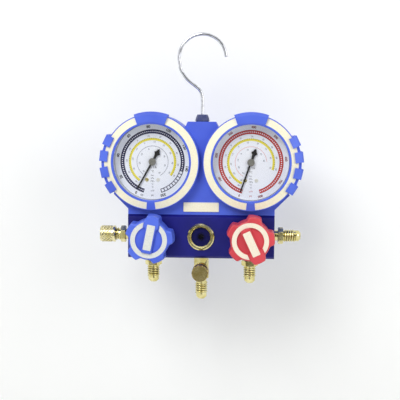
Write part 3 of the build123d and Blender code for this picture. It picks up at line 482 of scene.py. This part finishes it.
# The real pitch is 1.27 mm, too fine to show, so the thread is drawn 1.6 times as coarse.
real_pitch = 1.27 * MM
thread_pitch = 1.6 * real_pitch
thread_ridge = 0.90 * MM
thread_length = 10.9 * MM
nose_length = 4.2 * MM
root_radius = thread_crest - thread_ridge


weld_gap = 0.001 * MM


def merged_copy(name):
    """A CAD node's mesh as a bmesh with its corners joined."""
    shape = bmesh.new()
    shape.from_mesh(nodes[name].data)
    bmesh.ops.remove_doubles(shape, verts=shape.verts, dist=weld_gap)
    return shape


def turn_down(shape, foot, axis, start, stop, radius, crest):
    """Brings the crest of a stretch of a turned piece down to a smaller radius."""
    end_slack = 0.01 * MM
    crest_slack = 0.03 * MM
    for vertex in shape.verts:
        along = (vertex.co - foot).dot(axis)
        out = vertex.co - foot - axis * along
        within = start - end_slack < along < stop + end_slack
        if within and abs(out.length - crest) < crest_slack:
            vertex.co = foot + axis * along + out * (radius / out.length)


def place_along(mesh, foot, axis):
    """Stands a mesh made along +Z on a foot, along an axis."""
    mesh.transform(Matrix.Translation(foot) @ axis.to_track_quat("Z", "Y").to_matrix().to_4x4())


def finished_piece(name, shape, material, body, *replaced):
    """Hands a bmesh over as a piece that rides on a body."""
    mesh = bpy.data.meshes.new(name)
    shape.to_mesh(mesh)
    shape.free()
    mesh.materials.clear()
    mesh.materials.append(material)
    piece = bpy.data.objects.new(name, mesh)
    bpy.context.scene.collection.objects.link(piece)
    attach(piece, body)
    if replaced:
        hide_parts(*replaced)
    return piece


def threaded_piece(node, stems):
    """A fitting with a real thread on each stem, a stem being its nose and the way back from it."""
    shape = merged_copy(node)
    for nose, back in stems:
        turn_down(shape, nose, back, nose_length, nose_length + thread_length, root_radius, plain_crest)
        start = nose_length + thread_ridge
        run = thread_length - 2 * thread_ridge
        ridge = grow(
            node + "_thread",
            vee_thread,
            Root_Radius=root_radius,
            Ridge=thread_ridge,
            Turns=run / thread_pitch,
            Length=run,
            Material=brass,
        )
        place_along(ridge, nose + back * start, back)
        shape.from_mesh(ridge)
    return finished_piece(node + "_threaded", shape, brass, "manifold", node)


for side_name in ("low", "high"):
    port = side_name + "_hose_port"
    low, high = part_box(port)
    nose = Vector(((low.x + high.x) / 2, (low.y + high.y) / 2, low.z))
    threaded_piece(port, [(nose, Vector((0, 0, 1)))])
    port = side_name + "_side_port"
    low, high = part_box(port)
    outward = -1 if side_name == "low" else 1
    nose = Vector((low.x if outward < 0 else high.x, (low.y + high.y) / 2, port_z))
    threaded_piece(port, [(nose, Vector((-outward, 0, 0)))])

tee_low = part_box("centre_tee")[0]
cap_low, cap_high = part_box("tee_cap")
branch_z = (cap_low.z + cap_high.z) / 2
threaded_piece(
    "centre_tee",
    [
        (Vector((0, 0, tee_low.z)), Vector((0, 0, 1))),
        (Vector((0, tee_low.y, branch_z)), Vector((0, 1, 0))),
    ],
)
dress(brass, "low_gauge_socket", "high_gauge_socket", "low_valve_bonnet", "high_valve_bonnet")
dress(brass, "low_valve_core", "high_valve_core", "low_core_pin", "high_core_pin")

# Port caps: turned brass with a coarse diamond knurl rolled round the grip, lined with a rubber washer
# and screwed onto a thread. The side cap is drawn in a paler brass, and the tee's in a darker, more yellow
# one.


def diamond_knurl_tree():
    """Two sets of slanted ridges, one each way, round a cylinder: they cross as diamonds."""
    tree, given = new_generator(
        "diamond_knurl",
        Radius="Float",
        Ridge="Float",
        Length="Float",
        Twist="Float",
        Count="Int",
        Material="Material",
    )
    index = add_node(tree, "GeometryNodeInputIndex").outputs[0]
    step = add_node(tree, "ShaderNodeMath", {"operation": "DIVIDE"}, _0=math.tau, _1=given["Count"])
    angle = add_node(tree, "ShaderNodeMath", {"operation": "MULTIPLY"}, _0=index, _1=step.outputs[0])
    rotation = add_node(tree, "ShaderNodeCombineXYZ", Z=angle.outputs[0]).outputs[0]
    spots = add_node(tree, "GeometryNodePoints", Count=given["Count"]).outputs[0]
    vee = add_node(tree, "GeometryNodeCurvePrimitiveCircle", Resolution=4, Radius=given["Ridge"])
    sets = []
    for reverse in (False, True):
        wire = add_node(
            tree,
            "GeometryNodeCurveSpiral",
            Resolution=48,
            Rotations=given["Twist"],
            Start_Radius=given["Radius"],
            End_Radius=given["Radius"],
            Height=given["Length"],
            Reverse=reverse,
        ).outputs[0]
        upright = add_node(tree, "GeometryNodeSetCurveNormal", {"mode": "Z_UP"}, Curve=wire)
        ridge = add_node(
            tree,
            "GeometryNodeCurveToMesh",
            Curve=upright.outputs[0],
            Profile_Curve=vee.outputs[0],
            Fill_Caps=True,
        )
        ring = add_node(
            tree,
            "GeometryNodeInstanceOnPoints",
            Points=spots,
            Instance=ridge.outputs[0],
            Rotation=rotation,
        )
        sets.append(ring.outputs[0])
    join = tree.nodes.new("GeometryNodeJoinGeometry")
    for ring in sets:
        tree.links.new(ring, join.inputs[0])
    end_generator(tree, join.outputs[0], given["Material"])
    return tree


# The last colour of each is the painted shade in the knurl's grooves and joints.
pale_brass = turned_brass("pale_knurled_brass", "#E2D694", "#F8F0C6", 1.6, "#4A3A10")
yellow_brass = turned_brass("yellow_knurled_brass", "#D8C272", "#F4E09E", 1.6, "#4A3A10")
diamond_knurl = diamond_knurl_tree()
knurl_count = 12
knurl_crest = 7.2 * MM
knurl_ridge = 0.60 * MM
knurl_chamfer = 0.5 * MM
knurl_twist = 0.26
cap_length = 13.4 * MM
cap_collar = 2.0 * MM
cap_groove = 0.7 * MM
knurl_length = cap_length - cap_collar - cap_groove - knurl_chamfer


def knurled_cap(node, far_end, inward, body, metal):
    """A cap whose grip is turned down and knurled, from its far end inwards."""
    shape = merged_copy(node)
    root = knurl_crest - knurl_ridge
    turn_down(shape, far_end, inward, knurl_chamfer, knurl_chamfer + knurl_length, root, knurl_crest)
    ridges = grow(
        node + "_knurl",
        diamond_knurl,
        Radius=root,
        Ridge=knurl_ridge,
        Length=knurl_length - 2 * knurl_ridge,
        Twist=knurl_twist,
        Count=knurl_count,
        Material=metal,
    )
    place_along(ridges, far_end + inward * (knurl_chamfer + knurl_ridge), inward)
    shape.from_mesh(ridges)
    finished_piece(node + "_knurled", shape, metal, body, node)


knurled_cap("tee_cap", Vector((0, cap_low.y, branch_z)), Vector((0, 1, 0)), "tee_cap", yellow_brass)
cap_low, cap_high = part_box("low_side_cap")
cap_end = Vector((cap_low.x, (cap_low.y + cap_high.y) / 2, port_z))
knurled_cap("low_side_cap", cap_end, Vector((1, 0, 0)), "low_side_cap", pale_brass)


def nitrile_rubber():
    """Moulded rubber: near black, dull, with a faint bloom in patches 2 mm wide."""
    return workshop_finish(
        "black_nitrile_rubber",
        "#161617",
        "#242426",
        patch_mm=2,
        blend=(0.4, 0.6),
        Roughness=0.62,
    )


rubber = nitrile_rubber()
dress(rubber, "block_seals", "gauge_gaskets", "tee_cap_seal", "low_side_cap_seal")

# Sight glass: a thick lens over a dark chamber in the block, held by a bevelled brass ring. The lens's
# colour paints in the view through it: the blue of the bore round a painted shade of black at the mouth of
# the passage behind it.
dress(brass, "sight_glass_retainer")


def sight_glass(centre_z, mouth_shade_mm, bore_mm):
    """Polished glass whose colour paints the view through it: the blue of the bore, darkening to a painted
    shade of black at the passage mouth.
    """
    material, tree = new_material("sight_glass")
    place = add_node(tree, "ShaderNodeTexCoord").outputs["Object"]
    moved = add_node(
        tree,
        "ShaderNodeMapping",
        Vector=place,
        Location=(0, 0, -centre_z),
    ).outputs[0]
    flat = add_node(
        tree,
        "ShaderNodeVectorMath",
        {"operation": "MULTIPLY"},
        _0=moved,
        _1=(1, 0, 1),
    ).outputs[0]
    away = add_node(tree, "ShaderNodeVectorMath", {"operation": "LENGTH"}, _0=flat).outputs["Value"]
    # Painted shade: black at the passage mouth, blending out to the blue of the bore.
    shader = add_node(
        tree,
        "ShaderNodeBsdfPrincipled",
        Base_Color=two_tones(tree, away, "#04040C", "#15154E", mouth_shade_mm * MM, bore_mm * MM),
        Roughness=0.08,
        Specular_IOR_Level=0.35,
    )
    add_node(tree, "ShaderNodeOutputMaterial", Surface=shader.outputs[0])
    return material


dress(sight_glass(port_z, 1.6, 4.6), "sight_glass_lens")

# Housing and rear cover: one glass-filled nylon moulding round both gauges, closed from behind by a
# flat cover on six screws. Two more screws hold it down on the block. Moulded nylon is satin, with a
# fine spark-eroded grain.


def moulded_nylon(name, dark, light):
    """Grain about 0.25 mm across, shown at 0.5 mm, and a slow drift of colour from the mould flow."""
    return workshop_finish(
        name,
        dark,
        light,
        patch_mm=30,
        blend=(0.35, 0.65),
        edge_mm=0.35,
        grain_mm=0.5,
        depth_mm=0.03,
        strength=0.30,
        Roughness=0.40,
        Subsurface_Weight=0.04,
        Subsurface_Radius=(0.5, 0.5, 1.0),
        Subsurface_Scale=MM,
    )


blue_nylon = moulded_nylon("blue_moulded_nylon", "#4862D6", "#526FE3")
dress(blue_nylon, "gauge_housing", "rear_cover")


def plated_steel(name, dark, light, roughness):
    """Bright zinc or chrome plate: silver, with soft variation 3 mm wide."""
    return workshop_finish(
        name,
        dark,
        light,
        patch_mm=3,
        blend=(0.4, 0.6),
        edge_mm=0.1,
        Metallic=1.0,
        Roughness=roughness,
    )


zinc_steel = plated_steel("zinc_plated_steel", "#A9ABAE", "#C6C8CA", 0.32)
dress(zinc_steel, "housing_screws", "hook_nut", "low_knob_screw", "high_knob_screw")
dress(zinc_steel, "low_valve_stem", "high_valve_stem")

# Glow strips and name plate: afterglow plastic that is pale cream by day, soft and matt, and lets
# light a little way in. The strips are let into the housing's rings, and the blank plate into the bar
# below them.


def afterglow_plastic(name, dark, light):
    """Crystals of glow pigment mottle it in spots about 1 mm across."""
    spot_mm = 1
    return workshop_finish(
        name,
        dark,
        light,
        patch_mm=spot_mm,
        blend=(0.35, 0.65),
        edge_mm=0.2,
        grain_mm=spot_mm,
        Roughness=0.50,
        Subsurface_Weight=0.15,
        Subsurface_Radius=(1.0, 0.9, 0.6),
        Subsurface_Scale=MM,
    )


cream = afterglow_plastic("afterglow_cream_plastic", "#F1EACC", "#F7F2DA")
dress(cream, "glow_strips", "name_plate")

# Valve knobs: five-lobed handwheels moulded in coloured nylon, one blue for the low side and one red
# for the high side, each with a pale ring and pointer bar pressed in and a screw under the bar.
dress(blue_nylon, "low_knob")
red_nylon = moulded_nylon("red_moulded_nylon", "#CB3B47", "#DB4852")
dress(red_nylon, "high_knob")
dress(afterglow_plastic("grey_white_plastic", "#D3D6D3", "#E1E2DD"), "low_knob_inlay")
dress(afterglow_plastic("pale_cream_plastic", "#EFE2CC", "#F3EAD8"), "high_knob_inlay")

# Hook and ferrule: a chromed spring-steel wire, bent to a crook with a swept neck. It swivels in the
# crown of the housing, held from below by a nut, in a ferrule of slate blue nylon.
chrome = plated_steel("chromed_steel_wire", "#C4C6CC", "#DADCE2", 0.08)
hook_low, hook_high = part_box("hook")
wire_radius = 1.45
bow_radius = 20.4
bow_x = -0.2
# The wire is hung 0.05 mm low, so that its rounding stays under the CAD wire's top.
bow_drop = 0.05
bow_z = hook_high.z / MM - bow_radius - wire_radius - bow_drop
shank_foot = hook_low.z / MM - bow_z
tip_across, tip_rise = 20.7, 0.9
bow_start, bow_end, knot_step = 22, 200, 16
route = [(bow_x + tip_across, tip_rise)]
for angle in range(bow_start, bow_end, knot_step):
    lean = math.radians(angle)
    route.append((bow_x + bow_radius * math.cos(lean), bow_radius * math.sin(lean)))
route += [(-19.4, -8.6), (-16.3, -14.9), (-11.3, -20.4), (-6.2, -24.3), (-2.6, -27.6), (-0.4, -32.2)]
route += [(0.0, -38.0), (0.0, -46.0), (0.0, shank_foot)]
hook_curve = bpy.data.curves.new("hook_wire", "CURVE")
hook_curve.dimensions = "3D"
hook_curve.bevel_depth = wire_radius * MM
hook_curve.bevel_resolution = 6
hook_curve.use_fill_caps = True
hook_curve.resolution_u = 8
bend = hook_curve.splines.new("BEZIER")
bend.bezier_points.add(len(route) - 1)
for knot, (across, rise) in zip(bend.bezier_points, route):
    knot.co = (across * MM, (hook_low.y + hook_high.y) / 2, (bow_z + rise) * MM)
    knot.handle_left_type = "AUTO"
    knot.handle_right_type = "AUTO"
hook_bent = bpy.data.objects.new("hook_bent", hook_curve)
bpy.context.scene.collection.objects.link(hook_bent)
hook_seen = hook_bent.evaluated_get(bpy.context.evaluated_depsgraph_get())
wire = bmesh.new()
wire.from_mesh(bpy.data.meshes.new_from_object(hook_seen))
bpy.data.objects.remove(hook_bent)
bmesh.ops.remove_doubles(wire, verts=wire.verts, dist=weld_gap)
bmesh.ops.recalc_face_normals(wire, faces=wire.faces)
for face in wire.faces:
    face.smooth = len(face.verts) == 4
finished_piece("hook_wire", wire, chrome, "hook", "hook")
dress(moulded_nylon("slate_blue_nylon", "#323C6C", "#3E4880"), "hook_ferrule")

# Gauge works: brass plates and sector, a steel arbor, and a Bourdon tube and link of phosphor bronze,
# in a pressed steel case enamelled pale grey, whose lip shows round the dial. The pointer is black
# with a grey hub cap.


def phosphor_bronze():
    """Drawn tube: brown, half bright, with soft variation 4 mm wide."""
    return workshop_finish(
        "phosphor_bronze",
        "#A87B3E",
        "#C29350",
        patch_mm=4,
        blend=(0.4, 0.6),
        Metallic=1.0,
        Roughness=0.30,
    )


def baked_enamel(name, dark, light, roughness):
    """Baked enamel, with a slight orange peel about 0.6 mm across."""
    peel_mm = 0.6
    return workshop_finish(
        name,
        dark,
        light,
        patch_mm=peel_mm,
        blend=(0.3, 0.7),
        edge_mm=0.1,
        grain_mm=peel_mm,
        depth_mm=0.01,
        Roughness=roughness,
    )


bronze = phosphor_bronze()
case_enamel = baked_enamel("pale_grey_case_enamel", "#E6E9F4", "#F0F3FB", 0.35)
pointer_enamel = baked_enamel("black_pointer_enamel", "#050506", "#0B0B0D", 0.70)
hub_enamel = baked_enamel("grey_hub_enamel", "#6A6A64", "#8A8A82", 0.35)
hub_cap_radius = 3.2 * MM
hub_cap_thickness = 0.15 * MM
# The real blade is too thin to show, so it is drawn wider outside its hub.
pointer_hub_radius = 2.7 * MM
hub_margin = 0.1 * MM
leg_spread = 2.5
tail_spread = 1.7
for side_name in ("low", "high"):
    dress(bronze, side_name + "_bourdon_tube", side_name + "_link")
    dress(brass, side_name + "_movement_plates", side_name + "_sector_gear")
    dress(brass, side_name + "_valve_piston")
    dress(zinc_steel, side_name + "_pinion_arbor")
    dress(case_enamel, side_name + "_gauge_case")
    low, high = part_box(side_name + "_dial")
    centre = Vector(((low.x + high.x) / 2, 0, (low.z + high.z) / 2))
    blade = merged_copy(side_name + "_pointer")
    tip = max(blade.verts, key=lambda v: ((v.co - centre) * Vector((1, 0, 1))).length).co.copy()
    along = ((tip - centre) * Vector((1, 0, 1))).normalized()
    across = Vector((along.z, 0, -along.x))
    for vertex in blade.verts:
        offset = vertex.co - centre
        reach_along = offset.dot(along)
        if offset.xz.length > pointer_hub_radius + hub_margin:
            spread = leg_spread if reach_along > 0 else tail_spread
            vertex.co += across * offset.dot(across) * (spread - 1)
    finished_piece(
        side_name + "_pointer_blade",
        blade,
        pointer_enamel,
        side_name + "_pointer",
        side_name + "_pointer",
    )
    pointer_front = min(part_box(side_name + "_pointer")[0].y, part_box(side_name + "_pinion_arbor")[0].y)
    low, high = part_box(side_name + "_gauge_lens")
    cap = bmesh.new()
    bmesh.ops.create_cone(
        cap,
        cap_ends=True,
        segments=40,
        radius1=hub_cap_radius,
        radius2=hub_cap_radius - hub_cap_thickness,
        depth=hub_cap_thickness,
    )
    bmesh.ops.transform(cap, matrix=Matrix.Rotation(math.radians(90), 4, "X"), verts=cap.verts)
    seat = Vector(((low.x + high.x) / 2, pointer_front - hub_cap_thickness / 2, (low.z + high.z) / 2))
    bmesh.ops.translate(cap, verts=cap.verts, vec=seat)
    finished_piece(side_name + "_hub_cap", cap, hub_enamel, side_name + "_pointer")

# Dial screws: two small slotted cheese-head screws hold each dial to the posts of the movement, the
# left one bare brass and the right one touched with the dial's white enamel.
slot_length = 5 * MM
slot_width = 0.45 * MM
slot_depth = 0.3 * MM
slot_lean = {"left": 35, "right": -20}
screws_reach = 20 * MM
screw_low, screw_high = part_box("dial_screws")
white_touch = baked_enamel("white_touch_enamel", "#DDDCD2", "#E8E8E2", 0.4)
for side_name in ("low", "high"):
    low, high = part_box(side_name + "_dial")
    dial_x = (low.x + high.x) / 2
    for hand, finish in (("left", brass), ("right", white_touch)):
        screw = merged_copy("dial_screws")
        apart = [
            v
            for v in screw.verts
            if abs(v.co.x - dial_x) > screws_reach or (v.co.x < dial_x) != (hand == "left")
        ]
        bmesh.ops.delete(screw, geom=apart, context="VERTS")
        middle_x = sum(v.co.x for v in screw.verts) / len(screw.verts)
        uncut = bpy.data.objects.new("screw", bpy.data.meshes.new("screw"))
        screw.to_mesh(uncut.data)
        screw.free()
        bpy.context.scene.collection.objects.link(uncut)
        bar = bmesh.new()
        bmesh.ops.create_cube(bar, size=1.0)
        bmesh.ops.scale(bar, verts=bar.verts, vec=(slot_length, 2 * slot_depth, slot_width))
        lean = Matrix.Rotation(math.radians(slot_lean[hand]), 4, "Y")
        bmesh.ops.transform(bar, matrix=lean, verts=bar.verts)
        seat = Vector((middle_x, screw_low.y, (screw_low.z + screw_high.z) / 2))
        bmesh.ops.translate(bar, verts=bar.verts, vec=seat)
        cutter = bpy.data.objects.new("slot_cutter", bpy.data.meshes.new("slot_cutter"))
        bar.to_mesh(cutter.data)
        bar.free()
        bpy.context.scene.collection.objects.link(cutter)
        saw = uncut.modifiers.new("saw", "BOOLEAN")
        saw.operation = "DIFFERENCE"
        saw.object = cutter
        cut = bmesh.new()
        cut.from_mesh(uncut.evaluated_get(bpy.context.evaluated_depsgraph_get()).to_mesh())
        bpy.data.objects.remove(uncut)
        bpy.data.objects.remove(cutter)
        piece_name = side_name + "_dial_screw_" + hand
        replaced = ("dial_screws",) if piece_name == "low_dial_screw_left" else ()
        finished_piece(piece_name, cut, finish, "manifold", *replaced)

# Dials: aluminium discs sprayed white, with the scales screen-printed in coloured ink. The outer double
# band is pressure, the yellow and the thin inner arcs are saturation temperatures. Angles are in
# degrees clockwise from the top, radii in millimetres.


def dial_enamel():
    """Matt white enamel, with a faint spray mottle about 0.4 mm across."""
    return workshop_finish(
        "white_dial_enamel",
        "#EFF3FB",
        "#F6F9FF",
        patch_mm=0.4,
        blend=(0.3, 0.7),
        Roughness=0.55,
    )


dress(dial_enamel(), "low_dial", "high_dial")


def screen_ink(name, colour):
    """Printing ink: flat colour, thin and slightly uneven, with pinholes about 0.3 mm across."""
    pinhole_mm = 0.3
    material, tree = new_material(name)
    place = add_node(tree, "ShaderNodeTexCoord").outputs["Object"]
    cover = add_node(tree, "ShaderNodeTexNoise", Vector=place, Scale=1 / (pinhole_mm * MM)).outputs[0]
    lighter = add_node(tree, "ShaderNodeHueSaturation", Color=linear(colour), Value=1.06).outputs[0]
    tone = add_node(tree, "ShaderNodeMix", {"data_type": "RGBA"}, Factor=cover)
    tone.inputs[6].default_value = linear(colour)
    tree.links.new(lighter, tone.inputs[7])
    shader = add_node(tree, "ShaderNodeBsdfPrincipled", Base_Color=tone.outputs[2], Roughness=0.6)
    add_node(tree, "ShaderNodeOutputMaterial", Surface=shader.outputs[0])
    return material


navy_ink = screen_ink("navy_screen_ink", "#0B0D40")
red_ink = screen_ink("red_screen_ink", "#B22D28")
deep_red_ink = screen_ink("deep_red_screen_ink", "#C8382C")
yellow_ink = screen_ink("yellow_screen_ink", "#E8DC48")
olive_ink = screen_ink("olive_screen_ink", "#98903A")
grey_ink = screen_ink("grey_screen_ink", "#767A8A")
slate_ink = screen_ink("slate_screen_ink", "#3C4058")
brown_red_ink = screen_ink("brown_red_screen_ink", "#8A4A4C")
rose_ink = screen_ink("rose_screen_ink", "#D79C9C")
white_ink = screen_ink("white_screen_ink", "#E6E8F2")
black_ink = screen_ink("black_screen_ink", "#23242C")

ink_film = 0.03 * MM


def ring_of_marks_tree():
    """Small flat marks set round a circle, each turned to face its centre."""
    tree, given = new_generator(
        "ring_of_marks",
        Count="Int",
        Start="Float",
        Step="Float",
        Radius="Float",
        Width="Float",
        Height="Float",
        Film="Float",
        Material="Material",
    )
    index = add_node(tree, "GeometryNodeInputIndex").outputs[0]
    angle = add_node(
        tree,
        "ShaderNodeMath",
        {"operation": "MULTIPLY_ADD"},
        _0=index,
        _1=given["Step"],
        _2=given["Start"],
    ).outputs[0]
    across = add_node(tree, "ShaderNodeMath", {"operation": "SINE"}, _0=angle).outputs[0]
    up = add_node(tree, "ShaderNodeMath", {"operation": "COSINE"}, _0=angle).outputs[0]
    unit = add_node(tree, "ShaderNodeCombineXYZ", X=across, Z=up).outputs[0]
    place = add_node(
        tree,
        "ShaderNodeVectorMath",
        {"operation": "SCALE"},
        _0=unit,
        Scale=given["Radius"],
    ).outputs[0]
    spots = add_node(tree, "GeometryNodePoints", Count=given["Count"], Position=place).outputs[0]
    size = add_node(
        tree,
        "ShaderNodeCombineXYZ",
        X=given["Width"],
        Y=given["Film"],
        Z=given["Height"],
    ).outputs[0]
    mark = add_node(tree, "GeometryNodeMeshCube", Size=size).outputs["Mesh"]
    turned = add_node(tree, "ShaderNodeCombineXYZ", Y=angle).outputs[0]
    marks = add_node(
        tree,
        "GeometryNodeInstanceOnPoints",
        Points=spots,
        Instance=mark,
        Rotation=turned,
    ).outputs[0]
    end_generator(tree, marks, given["Material"])
    return tree


ring_of_marks = ring_of_marks_tree()


def dial_point(angle, radius):
    """Where an angle and a radius lie on a dial, from its centre."""
    turned_by = math.radians(angle)
    return Vector((radius * MM * math.sin(turned_by), 0, radius * MM * math.cos(turned_by)))


def print_marks(shape, layer, count, first, last, radius, width, height, ink):
    """Marks spread evenly from the first angle to the last."""
    mesh = grow(
        "marks",
        ring_of_marks,
        Count=count,
        Start=math.radians(first),
        Step=math.radians((last - first) / (count - 1)),
        Radius=radius * MM,
        Width=width * MM,
        Height=height * MM,
        Film=ink_film,
        Material=ink,
    )
    mesh.transform(Matrix.Translation((0, -layer * ink_film, 0)))
    shape.append((mesh, ink))


def print_band(shape, layer, first, last, inner, outer, ink):
    """A closed stretch of ring, one film thick."""
    steps = max(2, int(abs(last - first) / 2))
    band = bmesh.new()
    front = -(layer + 0.5) * ink_film
    ends = []
    for index in range(steps + 1):
        angle = first + (last - first) * index / steps
        corners = []
        for radius, rise in ((inner, 0), (outer, 0), (outer, ink_film), (inner, ink_film)):
            corners.append(band.verts.new(dial_point(angle, radius) + Vector((0, front + rise, 0))))
        ends.append(corners)
    for here, there in zip(ends, ends[1:]):
        for k in range(4):
            band.faces.new((here[k], there[k], there[(k + 1) % 4], here[(k + 1) % 4]))
    band.faces.new(ends[0])
    band.faces.new(ends[-1][::-1])
    bmesh.ops.recalc_face_normals(band, faces=band.faces)
    mesh = bpy.data.meshes.new("band")
    band.to_mesh(mesh)
    band.free()
    mesh.materials.append(ink)
    shape.append((mesh, ink))


def print_words(shape, layer, words, height, angle, radius, ink, upright=False):
    """Words or figures centred on a place of the dial. Their feet point to its centre, or down if
    they are upright. Tall ones are bold. Small ones aren't, since a bold outline would cross
    itself."""
    bold_from = 2.0
    bold_share = 0.05
    size_to_height = 1.4
    text = bpy.data.curves.new("words", "FONT")
    text.body = words
    text.size = height * MM * size_to_height
    text.align_x = "CENTER"
    text.align_y = "CENTER"
    text.extrude = ink_film / 2
    text.offset = height * MM * bold_share if height >= bold_from else 0.0
    text.resolution_u = 3
    holder = bpy.data.objects.new("words", text)
    bpy.context.scene.collection.objects.link(holder)
    mesh = bpy.data.meshes.new_from_object(holder.evaluated_get(bpy.context.evaluated_depsgraph_get()))
    bpy.data.objects.remove(holder)
    face_front = Matrix.Rotation(math.radians(90), 4, "X")
    lean = Matrix.Rotation(math.radians(0 if upright else angle), 4, "Y")
    place = Matrix.Translation(dial_point(angle, radius) + Vector((0, -layer * ink_film, 0)))
    mesh.transform(place @ lean @ face_front)
    mesh.materials.clear()
    mesh.materials.append(ink)
    shape.append((mesh, ink))


def hand_over_print(name, prints, centre, body):
    """Joins prints of one ink into one piece each."""
    inks = []
    for mesh, ink in prints:
        if ink not in inks:
            inks.append(ink)
    for ink in inks:
        joined = bmesh.new()
        for mesh, own in prints:
            if own == ink:
                joined.from_mesh(mesh)
        bmesh.ops.remove_doubles(joined, verts=joined.verts, dist=ink_film / 1000)
        bmesh.ops.recalc_face_normals(joined, faces=joined.faces)
        bmesh.ops.translate(joined, verts=joined.verts, vec=centre)
        finished_piece(name + "_" + ink.name.split("_screen")[0], joined, ink, body)


def dial_centre(side_name):
    """The middle of a dial, one ink film in front of its face."""
    low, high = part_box(side_name + "_dial")
    return Vector(((low.x + high.x) / 2, low.y - ink_film, (low.z + high.z) / 2))


first_coat, second_coat = 0, 1
band_inner = 24.5
band_outer = 28.0
rail = 0.75
thin_rail = 0.6
middle_line = (band_inner + band_outer) / 2
yellow_inner, yellow_outer, yellow_mark_line = 18.6, 20.6, 20.3
thin_inner, thin_outer, thin_mark_line = 13.4, 13.7, 13.8
figure_line = 30.3
low_yellow, low_thin = (214.7, 486.8), (217, 511)
high_yellow, high_thin = (203, 469), (210, 446)
band_start, low_full, band_end = 196, 467, 523.5
band_width = band_outer - band_inner
# Marks as width and height.
low_mark, low_bar, high_mark = (0.85, 0.95), (0.65, band_width), (0.9, 1.0)
yellow_mark, thin_mark = (0.55, 0.9), (0.15, 0.6)
low_figure, high_figure, small_figure = 2.3, 2.0, 1.4
figure_inset = 4

low_print = []
print_band(low_print, first_coat, band_start, low_full, band_inner, band_outer, navy_ink)
print_marks(low_print, second_coat, 70, 198.5, 465, middle_line, *low_mark, white_ink)
print_band(low_print, first_coat, low_full, band_end, band_inner, band_inner + thin_rail, navy_ink)
print_band(low_print, first_coat, low_full, band_end, band_outer - thin_rail, band_outer, navy_ink)
print_marks(low_print, first_coat, 10, 467.5, 523.2, middle_line, *low_bar, navy_ink)
print_band(low_print, first_coat, *low_yellow, yellow_inner, yellow_outer, yellow_ink)
print_marks(low_print, second_coat, 62, 215.5, 486, yellow_mark_line, *yellow_mark, olive_ink)
print_band(low_print, first_coat, *low_thin, thin_inner, thin_outer, grey_ink)
print_marks(low_print, second_coat, 60, 218, 510, thin_mark_line, *thin_mark, grey_ink)
low_figures = ((208, 0), (244, 20), (280, 40), (317, 60), (353, 80), (27, 100), (65, 120), (101, 140))
for angle, figure in low_figures:
    print_words(low_print, first_coat, str(figure), low_figure, angle, figure_line, black_ink)
print_words(low_print, first_coat, "-30", 1.8, 197, figure_line + 0.1, black_ink)
print_words(low_print, first_coat, "350", low_figure, 162, figure_line, black_ink)

high_print = []
for inner, outer, ink in (
    (band_inner, band_inner + rail, red_ink),
    (band_outer - rail, band_outer, red_ink),
    (band_inner + rail, band_outer - rail, deep_red_ink),
):
    print_band(high_print, first_coat, band_start, band_end, inner, outer, ink)
print_marks(high_print, second_coat, 84, 198, 521.5, middle_line, *high_mark, white_ink)
print_band(high_print, first_coat, *high_yellow, yellow_inner, yellow_outer, yellow_ink)
print_marks(high_print, second_coat, 60, 204, 468, yellow_mark_line, *yellow_mark, olive_ink)
print_band(high_print, first_coat, *high_thin, thin_inner, thin_outer, rose_ink)
print_marks(high_print, second_coat, 50, 211, 445, thin_mark_line, *thin_mark, rose_ink)
high_figures = ((199, 0), (241, 100), (281, 200), (324, 300), (4, 400), (44, 500), (84, 600), (123, 700))
for angle, figure in high_figures:
    print_words(high_print, first_coat, str(figure), high_figure, angle, figure_line, brown_red_ink)
print_words(high_print, first_coat, "800", high_figure, 164, figure_line, brown_red_ink)

for side_name, prints, ink, ends in (
    ("low", low_print, navy_ink, (low_yellow, low_thin)),
    ("high", high_print, red_ink, (high_yellow, high_thin)),
):
    for radius, (first, last), figures in (
        (22.3, ends[0], range(-40, 70, 10)),
        (17.2, ends[0], range(-40, 60, 10)),
        (11.2, ends[1], range(-30, 50, 10)),
    ):
        for index, figure in enumerate(figures):
            run = last - first - 2 * figure_inset
            angle = first + figure_inset + run * index / (len(figures) - 1)
            print_words(prints, first_coat, str(figure), small_figure, angle, radius, slate_ink)
    print_words(prints, first_coat, "CL 1.6", 1.9, 180, 4.9, black_ink, upright=True)
    print_words(prints, first_coat, "°C", 1.8, 180, 8.4, black_ink, upright=True)
    for drop, words in ((11.8, "bar"), (14.4, "kPa"), (17.0, "MPa"), (19.6, "°C"), (22.2, "°F")):
        print_words(prints, first_coat, words, small_figure, 180, drop, slate_ink, upright=True)
    print_words(prints, first_coat, "x10", 1.5, 180, 25.2, ink, upright=True)
    print_words(prints, first_coat, "psi", 1.6, 180, 29.0, ink, upright=True)
    hand_over_print(side_name + "_dial_print", prints, dial_centre(side_name), "manifold")

# Gauge lenses: clear polycarbonate discs snapped into the rings. They are see-through, with a thin
# reflection that grows towards a glancing view.


def clear_polycarbonate():
    """Clear, with a faint reflection, weaker than the real one so that the dial reads."""
    material, tree = new_material("clear_polycarbonate")
    clear = add_node(tree, "ShaderNodeBsdfTransparent", Color=linear("#FFFFFF")).outputs[0]
    gloss = add_node(tree, "ShaderNodeBsdfGlossy", Roughness=0.04).outputs[0]
    edge = add_node(tree, "ShaderNodeFresnel", IOR=1.45).outputs[0]
    thin = add_node(tree, "ShaderNodeMath", {"operation": "MULTIPLY"}, _0=edge, _1=0.35).outputs[0]
    lens = add_node(tree, "ShaderNodeMixShader", _0=thin, _1=clear, _2=gloss).outputs[0]
    add_node(tree, "ShaderNodeOutputMaterial", Surface=lens)
    return material


dress(clear_polycarbonate(), "low_gauge_lens", "high_gauge_lens")
